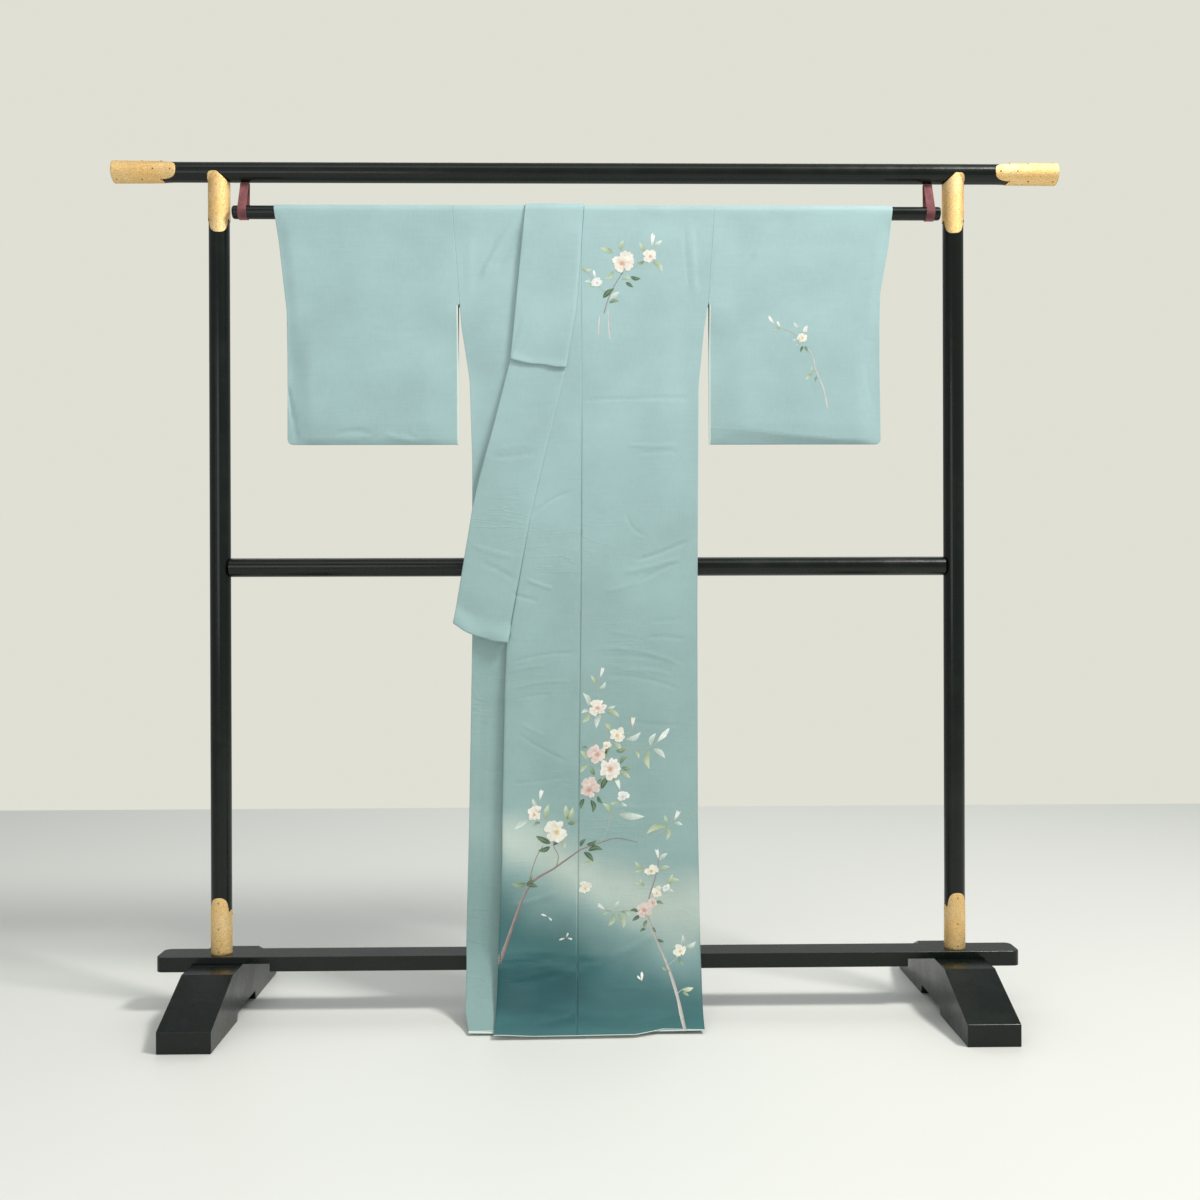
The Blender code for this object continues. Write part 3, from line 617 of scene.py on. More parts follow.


# Seams: how far the cloth rolls under beside one, over what width, and how much painted shade darkens the
# colour there
seams = {
    "edgeWidth": 0.004,
    "edgeRoll": 0.0009,
    "rollWidth": 0.003,
    "bodyRoll": 0.0004,
    "okumiRoll": 0.0005,
    "okumiTurnLevel": 0.95,
    "okumiTurnReach": 0.25,
    "collarRollWidth": 0.006,
    "collarEdgeShare": 0.5,
    "shadeWidth": 0.0028,
    "okumiShadeWidth": 0.0036,
    "clearLevel": 1.30,  # below it a seam shows more and more
    "clearReach": 0.40,
    "sideShade": (0.08, 0.30),
    "frontShade": (0.15, 0.70),
    "okumiShade": (0.15, 0.80),
    "collarShade": 0.20,
    "sleeveShade": 0.12,
}


def edgeRoll(distance, width=seams["edgeWidth"], depth=seams["edgeRoll"]):
    # how far a folded edge turns under
    return depth * smooth(1 - distance / width)


def seamShade(distance, width=seams["shadeWidth"]):
    # painted shade beside a seam: 1 at it, none beyond the width
    return smooth(1 - distance / width)


def seamClearness(level):
    return smooth((seams["clearLevel"] - level) / seams["clearReach"])


clothTrees = {}  # each piece of cloth as it lies, for the painting to lie on


def layCloth(name, columns, rows, place, materials, kept=None, flipped=False, pale=None):
    # a grid of cloth, its vertices moved to place(column, row), which gives (x, y, z) and (x, level, painted
    # shade)
    across, along = len(columns) - 1, len(rows) - 1
    mesh = bmesh.new()
    bmesh.ops.create_grid(mesh, x_segments=across, y_segments=along, size=0.5)
    lay = mesh.verts.layers.float_vector.new("lay")
    outside = []
    for face in mesh.faces:
        middle = face.calc_center_median()
        column, row = (middle.x + 0.5) * across, (middle.y + 0.5) * along
        if kept and not kept(column, row):
            outside.append(face)
        elif pale and pale(column, row):
            face.material_index = 1
    bmesh.ops.delete(mesh, geom=outside, context="FACES")
    for vertex in mesh.verts:
        column = columns[round((vertex.co.x + 0.5) * across)]
        row = rows[round((vertex.co.y + 0.5) * along)]
        spot, layPlace = place(column, row)
        vertex.co = Vector(spot)
        vertex[lay] = Vector(layPlace)
    if flipped:
        bmesh.ops.reverse_faces(mesh, faces=mesh.faces)
    mesh.normal_update()
    clothTrees[name] = BVHTree.FromBMesh(mesh)
    piece = finishPiece(mesh, name, materials, [name])
    solidify = piece.modifiers.new("wall", "SOLIDIFY")
    solidify.thickness = fall["wall"]
    solidify.offset = 0
    solidify.use_even_offset = True
    solidify.material_offset = 1
    return piece


def nearShares(width, near, count):
    # shares of a width: some close to its first edge, then even ones, with a few close to its last
    first = [distance / width for distance in near]
    last = [1 - distance / width for distance in reversed(near)]
    return first + steps(first[-1], last[0], count)[1:-1] + last


edgeSteps = (0, 0.0012, 0.0028, 0.0045, 0.008)


def frontRows(spacing, neck=fall["neckLevel"]):
    curl = [-share for share in [1, 0.9965] + steps(0.985, 0, 44)[:-1]]
    return curl + steps(curlLevel, neck, round((neck - curlLevel) / spacing))


def overRows():
    # from just above the neck's level to the top of the rod
    upper = steps(fall["neckLevel"] + 0.0003, fall["rodZ"], 8)
    return upper + steps(fall["rodZ"], topLevel, 6)[1:]


body = {
    "panelWidth": 0.25,
    "evenWidth": 0.22,
    "backSpacing": 0.012,
    "frontCalm": 0.03,  # creases fade out this close to the side
    "backCalm": 0.06,
    "backDyeReach": 0.16,
    "roomShare": 0.6,  # of the room between the plies, for creases that go inwards
}


def makeBody(name, side, innerFront, layer, backOffset, hemDegrees, innerBack, extra, materials, spacing):
    shares = nearShares(body["panelWidth"], edgeSteps + (0.012,), round(body["evenWidth"] / spacing))
    columns = shares + [1 + share for share in extra]
    front = [(1, row) for row in frontRows(spacing) + overRows()]
    behind = [(-1, row) for row in reversed(frontRows(body["backSpacing"]) + overRows()[:-1])]
    rows = front + behind
    firstBack = len(front)

    def place(share, row):
        face, step = row
        level = rowLevel(step, fall["backHemDegrees"])
        outer = lookup(side, level)
        if face < 0:
            x, offset = innerBack(share, outer, level)
            fromSide = abs(x - outer)
            front = lookup(backLine, level, 2) + layer
            offset = closedOffset(offset, front, level, fromSide)
            offset += backRelief(x, level) * smooth(fromSide / body["backCalm"])
            dyed = level + fall["backDyeFade"] * smooth(fromSide / body["backDyeReach"])
            return (x, *fallPoint(face, level, offset)), (x, dyed, seamShade(fromSide))
        inner = innerFront(level)
        if step < 0:
            level = rowLevel(step, hemDegrees(mix(outer, inner, share)))
            outer, inner = lookup(side, level), innerFront(level)
        x = mix(outer, inner, min(share, 1))
        fromSide, fromSeam = abs(x - outer), abs(x - inner)
        own = lookup(backLine, level, 2) + layer
        offset = closedOffset(own, backOffset, level, fromSide)
        room = offset - closedOffset(backOffset, own, level, fromSide) - fall["wall"]
        relief = frontRelief(x, level) * smooth(fromSide / body["frontCalm"])
        offset += max(relief, -body["roomShare"] * room)
        clear = seamClearness(level)
        offset -= clear * edgeRoll(fromSeam, seams["rollWidth"], seams["bodyRoll"])
        # painted shade beside the side seam and the front seam, more of it lower down
        sideShade = mix(*seams["sideShade"], clear) * seamShade(fromSide)
        frontShade = mix(*seams["frontShade"], clear) * seamShade(fromSeam)
        return (x, *fallPoint(face, level, offset)), (x, level, max(sideShade, frontShade))

    def kept(column, row):
        return column < len(shares) - 1 or row > firstBack

    def pale(column, row):
        return row < 1 or row > len(rows) - 2

    flipped = lookup(side, 1) > 0
    piece = layCloth(name, columns, rows, place, materials, kept, flipped, pale)


def rightX(leftTable, level):
    # an edge of a hidden right piece: the left one's, turned over
    return 2 * fall["mirrorX"] - lookup(leftTable, level)


def rightFrontEdge(level):
    seam = collarSeam if level > fall["neckLevel"] else frontSeam
    return rightX(seam, level) - fall["joinGap"] / 2


def leftFrontEdge(level):
    seam = collarSeam if level > fall["neckLevel"] else frontSeam
    return lookup(seam, level) + fall["joinGap"] / 2


def pleatedBack(share, outer, level):
    # the right back runs to the closed neck, turns in on itself and comes back to the centre seam
    turn = fall["pleatPitch"] / 2
    edge = fall["neckX"] - turn
    if share <= 1:
        return mix(outer, edge, share), layers["backRight"]
    if share <= 2:
        angle = math.pi * (share - 1)
        return edge + turn * math.sin(angle), layers["backRight"] + turn * (1 - math.cos(angle))
    return mix(edge, fall["centreBackX"], share - 2), layers["backRight"] + fall["pleatPitch"]


def plainBack(share, outer, level):
    # the left back runs on under the pleat to the centre seam
    inner = fall["neckX"] if level < fall["neckLevel"] + 0.01 else leftFrontEdge(level)
    if share <= 1:
        return mix(outer, inner, share), layers["backLeft"]
    return mix(inner, fall["centreBackX"], share - 1), layers["backLeft"]


okumi = {"width": 0.15, "evenWidth": 0.12, "liftWidth": 0.08}


def makeOkumi(name, edge, seam, layer, lifted, hemDegrees, materials, spacing, flipped):
    # lifted is 1 where the free edge stands forward
    rows = frontRows(spacing, fall["neckLevel"] - 0.0002)
    columns = nearShares(okumi["width"], edgeSteps, round(okumi["evenWidth"] / spacing))

    def place(share, row):
        level = rowLevel(row, hemDegrees(mix(edge(row), seam(row), share)))
        x = mix(edge(level), seam(level), share)
        fromEdge, fromSeam = abs(x - edge(level)), abs(x - seam(level))
        clear = seamClearness(level)
        turned = edgeRoll(fromEdge) * smooth((seams["okumiTurnLevel"] - level) / seams["okumiTurnReach"])
        rolled = clear * edgeRoll(fromSeam, seams["rollWidth"], seams["okumiRoll"])
        offset = frontOffset(x, level, layer) - turned - rolled
        offset += lifted * lookup(okumiStand, level) * smooth(1 - fromEdge / okumi["liftWidth"])
        shade = mix(*seams["okumiShade"], clear) * seamShade(fromSeam, seams["okumiShadeWidth"])
        return (x, *fallPoint(1, level, offset)), (x, level, shade)

    def pale(column, row):
        return row < 1

    piece = layCloth(name, columns, rows, place, materials, flipped=flipped, pale=pale)


collar = {
    "width": 0.11,
    "rightWidth": 0.052,
    "tailLevel": 1.466,
    "leftEnd": 0.7409,
    "overEnd": 1.2414,
    "spacing": 0.0045,
    "lastRow": 0.0025,
    "endWaver": 0.0030,
}


def makeCollar(name, end, slant, droop, flare, layer, lift, materials):
    # the opened left collar: a tail behind the neck, over the rod, then down the front to a slanted end
    rodZ, neck = fall["rodZ"], fall["neckLevel"]
    tail = [(-1, level) for level in steps(collar["tailLevel"], rodZ, 6)[:-1]]
    rising = [(-1, level) for level in steps(rodZ, topLevel, 6)]
    falling = [(1, level) for level in steps(topLevel, rodZ, 6)[1:]]
    down = [(1, level) for level in steps(rodZ, neck, 10)[1:]]
    lastShare = 1 - collar["lastRow"] / (neck - end)
    ending = steps(0, lastShare, round((neck - end) / collar["spacing"]))[1:] + [1]
    rows = tail + rising + falling + down + [(0, share) for share in ending]

    def place(share, row):
        face, level = row
        fromEnd = 1.0
        if face == 0:
            lowest = end - slant * share - droop * math.sin(math.pi * share**0.85)
            waver = noise.noise(Vector((share * 5.5, end * 9, 0.4)))
            lowest += collar["endWaver"] * waver * smooth(8 * share * (1 - share))
            face, level = 1, mix(neck, lowest, level)
            fromEnd = level - lowest
        edge = lookup(collarEdge, level)
        seam = lookup(collarSeam, level) - fall["joinGap"] / 2
        x = mix(edge, seam, share)
        fromEdge, fromSeam = abs(x - edge), abs(x - seam)
        offset = -lift if face < 0 else frontOffset(x, level, layer)
        stepped = edgeRoll(fromSeam, seams["collarRollWidth"], fall["collarStep"])
        offset -= seams["collarEdgeShare"] * edgeRoll(fromEdge) + stepped
        offset += flare * smooth(1 - fromEnd / (3 * flare + 0.010)) * (0.75 + 0.25 * math.sin(9 * share))
        shade = seams["collarShade"] * seamShade(fromSeam)
        return (x, *fallPoint(face, level, offset, lift)), (x, level, shade)

    columns = nearShares(collar["width"], edgeSteps, 22)
    piece = layCloth(name, columns, rows, place, materials, flipped=True)


def makeRightCollar(materials):
    def place(share, level):
        x = rightX(collarSeam, level) + share * collar["rightWidth"]
        offset = frontOffset(x, level, layers["collarRight"])
        return (x, *fallPoint(1, level, offset)), (x, level, 0)

    rows = steps(collar["leftEnd"], fall["neckLevel"], 60)
    piece = layCloth("collar_right", steps(0, 1, 8), rows, place, materials, flipped=True)


sleeves = {
    "width": 0.33,
    "bottom": 1.0805,
    "corner": 0.010,
    "cuffLevel": 1.335,
    "cuffShutReach": 0.12,
    "cuffShutWidth": 0.05,
    "cuffTurn": 0.024,  # near the cuff the plies lean together
    "cuffLean": 0.25,
    "freeReach": 0.05,
    "sagShare": 1.3,
    "rightFuriX": -0.2475,
    "leftFuriX": 0.2304,
    "besideLevel": 1.28,
    "besideWidth": 0.06,
    "furiClosing": 0.6,
    "furiWidth": 0.070,
    "furiReach": 0.130,
    "slopeFrom": 1.119,
    "slopeTo": 1.086,
    "slopeSoftness": 0.008,
    "slopeShade": 0.42,
    "furiGap": 0.004,  # the lining shows from this far under the sleeve's seam
}


def slopeLine(x):
    # the line from which the left sleeve's front slopes back to the lower edge; it runs out at the cuff
    return mix(sleeves["slopeFrom"], sleeves["slopeTo"], (x - sleeves["leftFuriX"]) / sleeves["width"])


def makeSleeve(name, cuff, furiX, side, bodyFront, bodyBack, materials):
    columns = nearShares(sleeves["width"], edgeSteps + (0.012, 0.018), 66)
    down = [("down", share) for share in [1, 0.996] + steps(0.99, 0, 84)]
    over = [("over", level) for level in overRows()]
    rows = [(1, *row) for row in down + over] + [(-1, *row) for row in reversed(down + over[:-1])]
    away = 1 if furiX > 0 else -1

    def place(share, row):
        face, stretch, level = row
        if stretch == "down":
            rise = max(sleeves["corner"] - share * sleeves["width"], 0)
            bottom = sleeves["bottom"] + sleeves["corner"] - math.sqrt(sleeves["corner"]**2 - rise**2)
            level = mix(fall["neckLevel"], bottom, level)
        outer = lookup(cuff, level)
        sewnX = lookup(side, level) + away * fall["joinGap"]
        inner = sewnX if level > fall["sleeveSeamLevel"] else furiX
        x = mix(outer, inner, share)
        fromCuff, fromInner = abs(x - outer), abs(x - inner)
        shade = seams["sleeveShade"] * seamShade(fromInner) if level > fall["sleeveSeamLevel"] else 0.0
        if level > fall["rodZ"]:
            return (x, *fallPoint(face, level, 0)), (x, level, shade)
        middle, half = lookup(sleeveFill, level, 1), lookup(sleeveFill, level, 2)
        shut = smooth((sleeves["cuffLevel"] - level) / sleeves["cuffShutReach"])
        half = mix(half, sleeveFill[0][2], shut * smooth(1 - fromCuff / sleeves["cuffShutWidth"]))
        free = smooth((fall["rodZ"] - level) / sleeves["freeReach"])
        half *= 1 - sleeves["cuffLean"] * free * smooth(1 - fromCuff / sleeves["cuffTurn"])
        below = smooth((fall["sleeveSeamLevel"] - level) / sleeves["furiReach"])
        half *= 1 - sleeves["furiClosing"] * below * smooth(1 - fromInner / sleeves["furiWidth"])
        relief = creaseHeight(sleeveCreases, x, level) + sleeves["sagShare"] * sag(x, level, 5.7)
        if face > 0 and furiX > 0:
            line = slopeLine(x)
            rise = (level - sleeves["bottom"]) / (line - sleeves["bottom"])
            half = min(half, mix(sleeveFill[0][2], sleeveFill[2][2], rise))
            # painted shade on the band below the slope line, where the sleeve's front turns back
            shade += sleeves["slopeShade"] * smooth((line - level) / sleeves["slopeSoftness"])
        own = middle - face * half - relief * free
        offset = lookup(backLine, level, 2) + bodyFront if face > 0 else bodyBack
        besideReach = fall["sleeveSeamLevel"] - sleeves["besideLevel"]
        beside = smooth(1 - fromInner / sleeves["besideWidth"])
        beside *= smooth((level - sleeves["besideLevel"]) / besideReach)
        return (x, mix(own, fallPoint(face, level, offset)[0], beside), level), (x, level, shade)

    def pale(column, row):
        # the lining shows along the open inner edge
        _, stretch, share = rows[int(row)]
        level = mix(fall["neckLevel"], sleeves["bottom"], share)
        openEdge = stretch == "down" and level < fall["sleeveSeamLevel"] - sleeves["furiGap"]
        return openEdge and column > len(columns) - 3

    piece = layCloth(name, columns, rows, place, materials, flipped=furiX > 0, pale=pale)


def makeGarment():
    lining = makeLining()
    dyed = [makeSilk("dyed silk", 1.0), lining]
    plain = [makeSilk("plain silk", 0.16), lining]
    pleat = steps(0, 1, 6)[1:] + steps(1, 2, 12)[1:]

    def leftCurl(x):
        return lookup(leftHem, x)

    def rightCurl(x):
        return fall["rightHemDegrees"]

    makeBody(
        "body_right", rightSide, rightFrontEdge, layers["frontRight"], layers["backRight"], rightCurl,
        pleatedBack, pleat, plain, spacing=0.006,
    )
    makeBody(
        "body_left", leftSide, leftFrontEdge, layers["frontLeft"], layers["backLeft"], leftCurl,
        plainBack, steps(0, 1, 12)[1:], dyed, spacing=0.0035,
    )
    makeOkumi(
        "okumi_left", lambda level: lookup(okumiEdge, level) + fall["joinGap"] / 2,
        lambda level: lookup(frontSeam, level) - fall["joinGap"] / 2, layers["frontLeft"], 1,
        leftCurl, dyed, spacing=0.0028, flipped=False,
    )
    makeOkumi(
        "okumi_right", lambda level: rightX(okumiEdge, level),
        lambda level: rightX(frontSeam, level) + fall["joinGap"] / 2, layers["frontRight"], 0,
        rightCurl, plain, spacing=0.012, flipped=True,
    )
    makeCollar(
        "collar_left", collar["leftEnd"], slant=0.0375, droop=0.0085, flare=0.0105,
        layer=layers["collarLeft"], lift=0.0016, materials=dyed,
    )
    makeCollar(
        "over_collar", collar["overEnd"], slant=0.0171, droop=0.0035, flare=0.0022,
        layer=layers["overCollar"], lift=0.0032, materials=dyed,
    )
    makeRightCollar(plain)
    makeSleeve(
        "sleeve_right", rightCuff, sleeves["rightFuriX"], rightSide,
        layers["frontRight"], layers["backRight"], dyed,
    )
    makeSleeve(
        "sleeve_left", leftCuff, sleeves["leftFuriX"], leftSide,
        layers["frontLeft"], layers["backLeft"], dyed,
    )
    print("garment laid")


# Painted flowers: sprays at the hem, on the breast and on the left sleeve
paint = {
    "lift": 0.00015,
    "layer": 0.00004,
    "ahead": 0.003,  # the cloth's nearest place is looked for from this far in front
    "petalsCream": ((0.80, 0.62, 0.30), (0.90, 0.82, 0.62), (0.93, 0.92, 0.83)),  # centre, middle, edge
    "petalsBlush": ((0.72, 0.42, 0.34), (0.87, 0.71, 0.62), (0.93, 0.90, 0.82)),
    "petalsPink": ((0.64, 0.34, 0.32), (0.76, 0.54, 0.50), (0.86, 0.73, 0.67)),
    "petalsWhite": ((0.70, 0.70, 0.54), (0.84, 0.88, 0.82), (0.91, 0.95, 0.94)),
    "leafDark": ((0.048, 0.105, 0.054), (0.17, 0.29, 0.155)),  # base, tip
    "leafMid": ((0.13, 0.23, 0.13), (0.38, 0.50, 0.33)),
    "leafPale": ((0.34, 0.46, 0.28), (0.66, 0.76, 0.56)),
    "leafWhite": ((0.46, 0.58, 0.48), (0.82, 0.91, 0.88)),
    "bark": ((0.20, 0.135, 0.135), (0.44, 0.35, 0.34)),
    "barkPale": ((0.36, 0.34, 0.32), (0.60, 0.60, 0.56)),
    "stalk": ((0.46, 0.48, 0.46), (0.72, 0.75, 0.72)),
    "twig": ((0.38, 0.40, 0.32), (0.60, 0.60, 0.50)),
    "stamen": (0.80, 0.52, 0.20),
    "roughness": 0.55,
    "specular": 0.35,
    "grain": 0.0002,
}

# branches: colour, start width, end width, then places (x, level) from root to tip
hemBranches = [
    (
        "bark", 0.0066, 0.0024,
        [(-0.1715, 0.098), (-0.141, 0.188), (-0.112, 0.248), (-0.066, 0.278), (-0.018, 0.312)],
    ),
    ("bark", 0.0019, 0.0011, [(-0.018, 0.312), (0.020, 0.325), (0.052, 0.333), (0.090, 0.325)]),
    ("bark", 0.0018, 0.0012, [(-0.116, 0.250), (-0.109, 0.276), (-0.100, 0.300), (-0.088, 0.320)]),
    ("bark", 0.0016, 0.0011, [(-0.064, 0.279), (-0.060, 0.300), (-0.069, 0.320), (-0.066, 0.336)]),
    ("twig", 0.0013, 0.0008, [(-0.102, 0.388), (-0.097, 0.402), (-0.094, 0.410)]),
    ("twig", 0.0012, 0.0008, [(0.020, 0.325), (0.034, 0.352), (0.042, 0.380), (0.056, 0.402)]),
    ("twig", 0.0012, 0.0008, [(0.036, 0.366), (0.052, 0.378), (0.072, 0.380)]),
    (
        "twig", 0.0014, 0.0010,
        [(0.004, 0.424), (0.026, 0.450), (0.034, 0.500), (0.030, 0.548), (0.018, 0.575)],
    ),
    ("twig", 0.0012, 0.0008, [(0.018, 0.598), (0.016, 0.620), (0.020, 0.640)]),
    ("twig", 0.0013, 0.0008, [(0.052, 0.500), (0.080, 0.500), (0.112, 0.503), (0.128, 0.514)]),
    ("twig", 0.0012, 0.0008, [(0.058, 0.528), (0.074, 0.532), (0.082, 0.542)]),
    ("twig", 0.0013, 0.0008, [(0.112, 0.332), (0.138, 0.346), (0.160, 0.360), (0.203, 0.380)]),
    (
        "barkPale", 0.0068, 0.0040,
        [(0.171, -0.056), (0.163, 0.028), (0.147, 0.090), (0.127, 0.138), (0.108, 0.186)],
    ),
    ("bark", 0.0026, 0.0012, [(0.108, 0.186), (0.112, 0.222), (0.124, 0.260), (0.130, 0.292)]),
    ("twig", 0.0013, 0.0009, [(0.146, 0.094), (0.160, 0.104), (0.168, 0.114)]),
    ("twig", 0.0013, 0.0009, [(0.104, 0.192), (0.078, 0.196), (0.050, 0.194), (0.028, 0.198)]),
    ("twig", 0.0012, 0.0008, [(0.160, 0.040), (0.172, 0.050), (0.184, 0.054)]),
]
breastBranches = [
    ("bark", 0.0017, 0.0012, [(0.030, 1.328), (0.036, 1.350), (0.047, 1.376), (0.063, 1.402)]),
    ("stalk", 0.0044, 0.0036, [(0.020, 1.287), (0.022, 1.322)]),
    ("stalk", 0.0038, 0.0022, [(0.041, 1.280), (0.039, 1.310), (0.038, 1.336)]),
    ("twig", 0.0014, 0.0010, [(0.082, 1.414), (0.099, 1.420), (0.116, 1.430)]),
    ("twig", 0.0013, 0.0009, [(0.118, 1.444), (0.120, 1.453), (0.122, 1.462)]),
    ("twig", 0.0013, 0.0009, [(0.040, 1.362), (0.020, 1.380), (0.004, 1.400), (-0.014, 1.414)]),
]
sleeveBranches = [
    (
        "stalk", 0.0042, 0.0016,
        [(0.457, 1.149), (0.450, 1.184), (0.434, 1.225), (0.428, 1.250), (0.411, 1.269)],
    ),
    ("twig", 0.0018, 0.0011, [(0.402, 1.284), (0.382, 1.296), (0.366, 1.301), (0.358, 1.306)]),
    ("twig", 0.0013, 0.0009, [(0.436, 1.222), (0.428, 1.216), (0.420, 1.209)]),
]

# leaves: x, level, way they point in degrees, length, colour and, for a pair, its spread in degrees
hemLeaves = [
    (-0.116, 0.249, 176, 0.030, "leafMid"), (-0.122, 0.247, 8, 0.019, "leafDark", 40),
    (-0.112, 0.254, 74, 0.015, "leafMid"), (-0.072, 0.322, 152, 0.027, "leafDark"),
    (-0.073, 0.318, 198, 0.024, "leafDark"), (-0.069, 0.318, 70, 0.019, "leafDark"),
    (-0.054, 0.332, 288, 0.021, "leafPale"), (-0.048, 0.364, 60, 0.031, "leafPale"),
    (-0.044, 0.360, 24, 0.024, "leafMid"), (-0.084, 0.366, 78, 0.027, "leafPale"),
    (-0.092, 0.364, 206, 0.018, "leafMid"), (-0.097, 0.392, 122, 0.017, "leafWhite"),
    (-0.114, 0.372, 214, 0.030, "leafWhite"), (-0.020, 0.316, 52, 0.016, "leafDark"),
    (-0.008, 0.320, 24, 0.024, "leafDark"), (-0.006, 0.310, 3, 0.027, "leafDark"),
    (-0.013, 0.309, 314, 0.026, "leafDark"), (0.003, 0.291, 202, 0.017, "leafPale"),
    (-0.010, 0.410, 252, 0.019, "leafDark"), (0.002, 0.408, 278, 0.021, "leafDark"),
    (0.014, 0.414, 306, 0.020, "leafDark"), (0.020, 0.424, 52, 0.026, "leafDark"),
    (0.024, 0.440, 8, 0.020, "leafMid"), (0.042, 0.446, 326, 0.021, "leafPale"),
    (-0.002, 0.478, 128, 0.021, "leafPale"), (-0.002, 0.474, 226, 0.022, "leafPale"),
    (0.056, 0.472, 42, 0.026, "leafMid"), (0.058, 0.466, 4, 0.024, "leafMid"),
    (0.056, 0.460, 326, 0.026, "leafPale"), (0.030, 0.490, 66, 0.017, "leafDark"),
    (0.048, 0.496, 24, 0.027, "leafMid"), (0.040, 0.500, 98, 0.020, "leafPale"),
    (0.084, 0.499, 300, 0.020, "leafPale"), (0.114, 0.504, 66, 0.027, "leafWhite"),
    (0.112, 0.502, 272, 0.031, "leafPale"), (0.118, 0.503, 322, 0.025, "leafWhite"),
    (0.044, 0.534, 136, 0.024, "leafPale"), (0.066, 0.518, 26, 0.028, "leafWhite"),
    (0.001, 0.580, 116, 0.027, "leafWhite"), (0.002, 0.574, 194, 0.019, "leafWhite"),
    (0.002, 0.572, 232, 0.025, "leafPale"), (0.030, 0.574, 336, 0.026, "leafPale"),
    (0.032, 0.578, 16, 0.017, "leafWhite"), (0.022, 0.570, 252, 0.025, "leafWhite"),
    (0.016, 0.622, 124, 0.025, "leafPale"), (0.017, 0.614, 48, 0.021, "leafWhite"),
    (0.049, 0.379, 354, 0.044, "leafWhite"), (0.040, 0.378, 126, 0.023, "leafPale"),
    (0.056, 0.402, 196, 0.014, "leafPale"), (0.058, 0.402, 330, 0.014, "leafWhite"),
    (0.150, 0.356, 199, 0.048, "leafPale"), (0.146, 0.356, 268, 0.028, "leafPale"),
    (0.158, 0.362, 344, 0.020, "leafWhite"), (0.152, 0.360, 120, 0.016, "leafPale"),
    (0.096, 0.188, 214, 0.017, "leafDark"), (0.092, 0.194, 172, 0.014, "leafDark"),
    (0.108, 0.180, 252, 0.016, "leafMid"), (0.106, 0.162, 206, 0.014, "leafDark"),
    (0.118, 0.166, 306, 0.014, "leafDark"), (0.126, 0.142, 338, 0.016, "leafDark"),
    (0.122, 0.212, 346, 0.015, "leafMid"), (0.104, 0.242, 142, 0.016, "leafPale", 40),
    (0.144, 0.244, 40, 0.022, "leafPale", 40), (0.142, 0.236, 344, 0.018, "leafWhite"),
    (0.102, 0.276, 172, 0.017, "leafPale", 60), (0.130, 0.270, 20, 0.018, "leafPale"),
    (0.130, 0.288, 44, 0.021, "leafWhite"), (0.046, 0.194, 246, 0.023, "leafPale"),
    (0.052, 0.194, 290, 0.026, "leafPale"), (0.048, 0.198, 66, 0.017, "leafWhite"),
    (0.056, 0.196, 334, 0.017, "leafPale"), (0.040, 0.196, 206, 0.018, "leafPale"),
    (0.172, 0.130, 82, 0.017, "leafWhite"), (0.178, 0.126, 26, 0.020, "leafWhite"),
    (0.168, 0.110, 296, 0.015, "leafMid"), (0.150, 0.082, 152, 0.014, "leafMid"),
    (0.170, 0.048, 12, 0.023, "leafPale"), (0.170, 0.046, 326, 0.016, "leafMid"),
    (0.036, 0.522, 264, 0.034, "leafMid"), (0.042, 0.516, 312, 0.027, "leafPale"),
    (-0.003, 0.506, 206, 0.017, "leafMid"), (0.010, 0.450, 112, 0.024, "leafMid"),
    (0.022, 0.448, 262, 0.022, "leafMid"), (-0.042, 0.366, 96, 0.024, "leafPale"),
]
breastLeaves = [
    (0.050, 1.442, 158, 0.024, "leafPale"), (0.061, 1.445, 74, 0.025, "leafPale"),
    (0.050, 1.410, 222, 0.020, "leafPale"), (0.063, 1.413, 268, 0.013, "leafDark"),
    (0.079, 1.398, 350, 0.023, "leafDark"), (0.070, 1.388, 326, 0.019, "leafDark"),
    (0.062, 1.394, 6, 0.018, "leafPale"), (0.026, 1.356, 40, 0.025, "leafDark"),
    (0.040, 1.350, 44, 0.025, "leafWhite"), (0.038, 1.348, 8, 0.017, "leafMid"),
    (0.108, 1.444, 118, 0.024, "leafPale"), (0.121, 1.429, 312, 0.031, "leafPale"),
    (0.108, 1.427, 188, 0.015, "leafMid"), (0.123, 1.455, 34, 0.018, "leafWhite"),
    (0.010, 1.386, 172, 0.014, "leafWhite"), (0.012, 1.380, 206, 0.014, "leafPale"),
    (-0.013, 1.413, 206, 0.016, "leafWhite"), (-0.012, 1.414, 352, 0.017, "leafPale"),
]
sleeveLeaves = [
    (0.410, 1.268, 248, 0.012, "leafDark"), (0.412, 1.268, 304, 0.012, "leafMid"),
    (0.404, 1.272, 206, 0.011, "leafPale"), (0.400, 1.281, 188, 0.011, "leafWhite"),
    (0.404, 1.300, 134, 0.014, "leafWhite"), (0.366, 1.300, 190, 0.010, "leafPale"),
    (0.430, 1.216, 112, 0.014, "leafPale"), (0.430, 1.214, 216, 0.016, "leafPale"),
    (0.436, 1.210, 262, 0.013, "leafMid"),
]

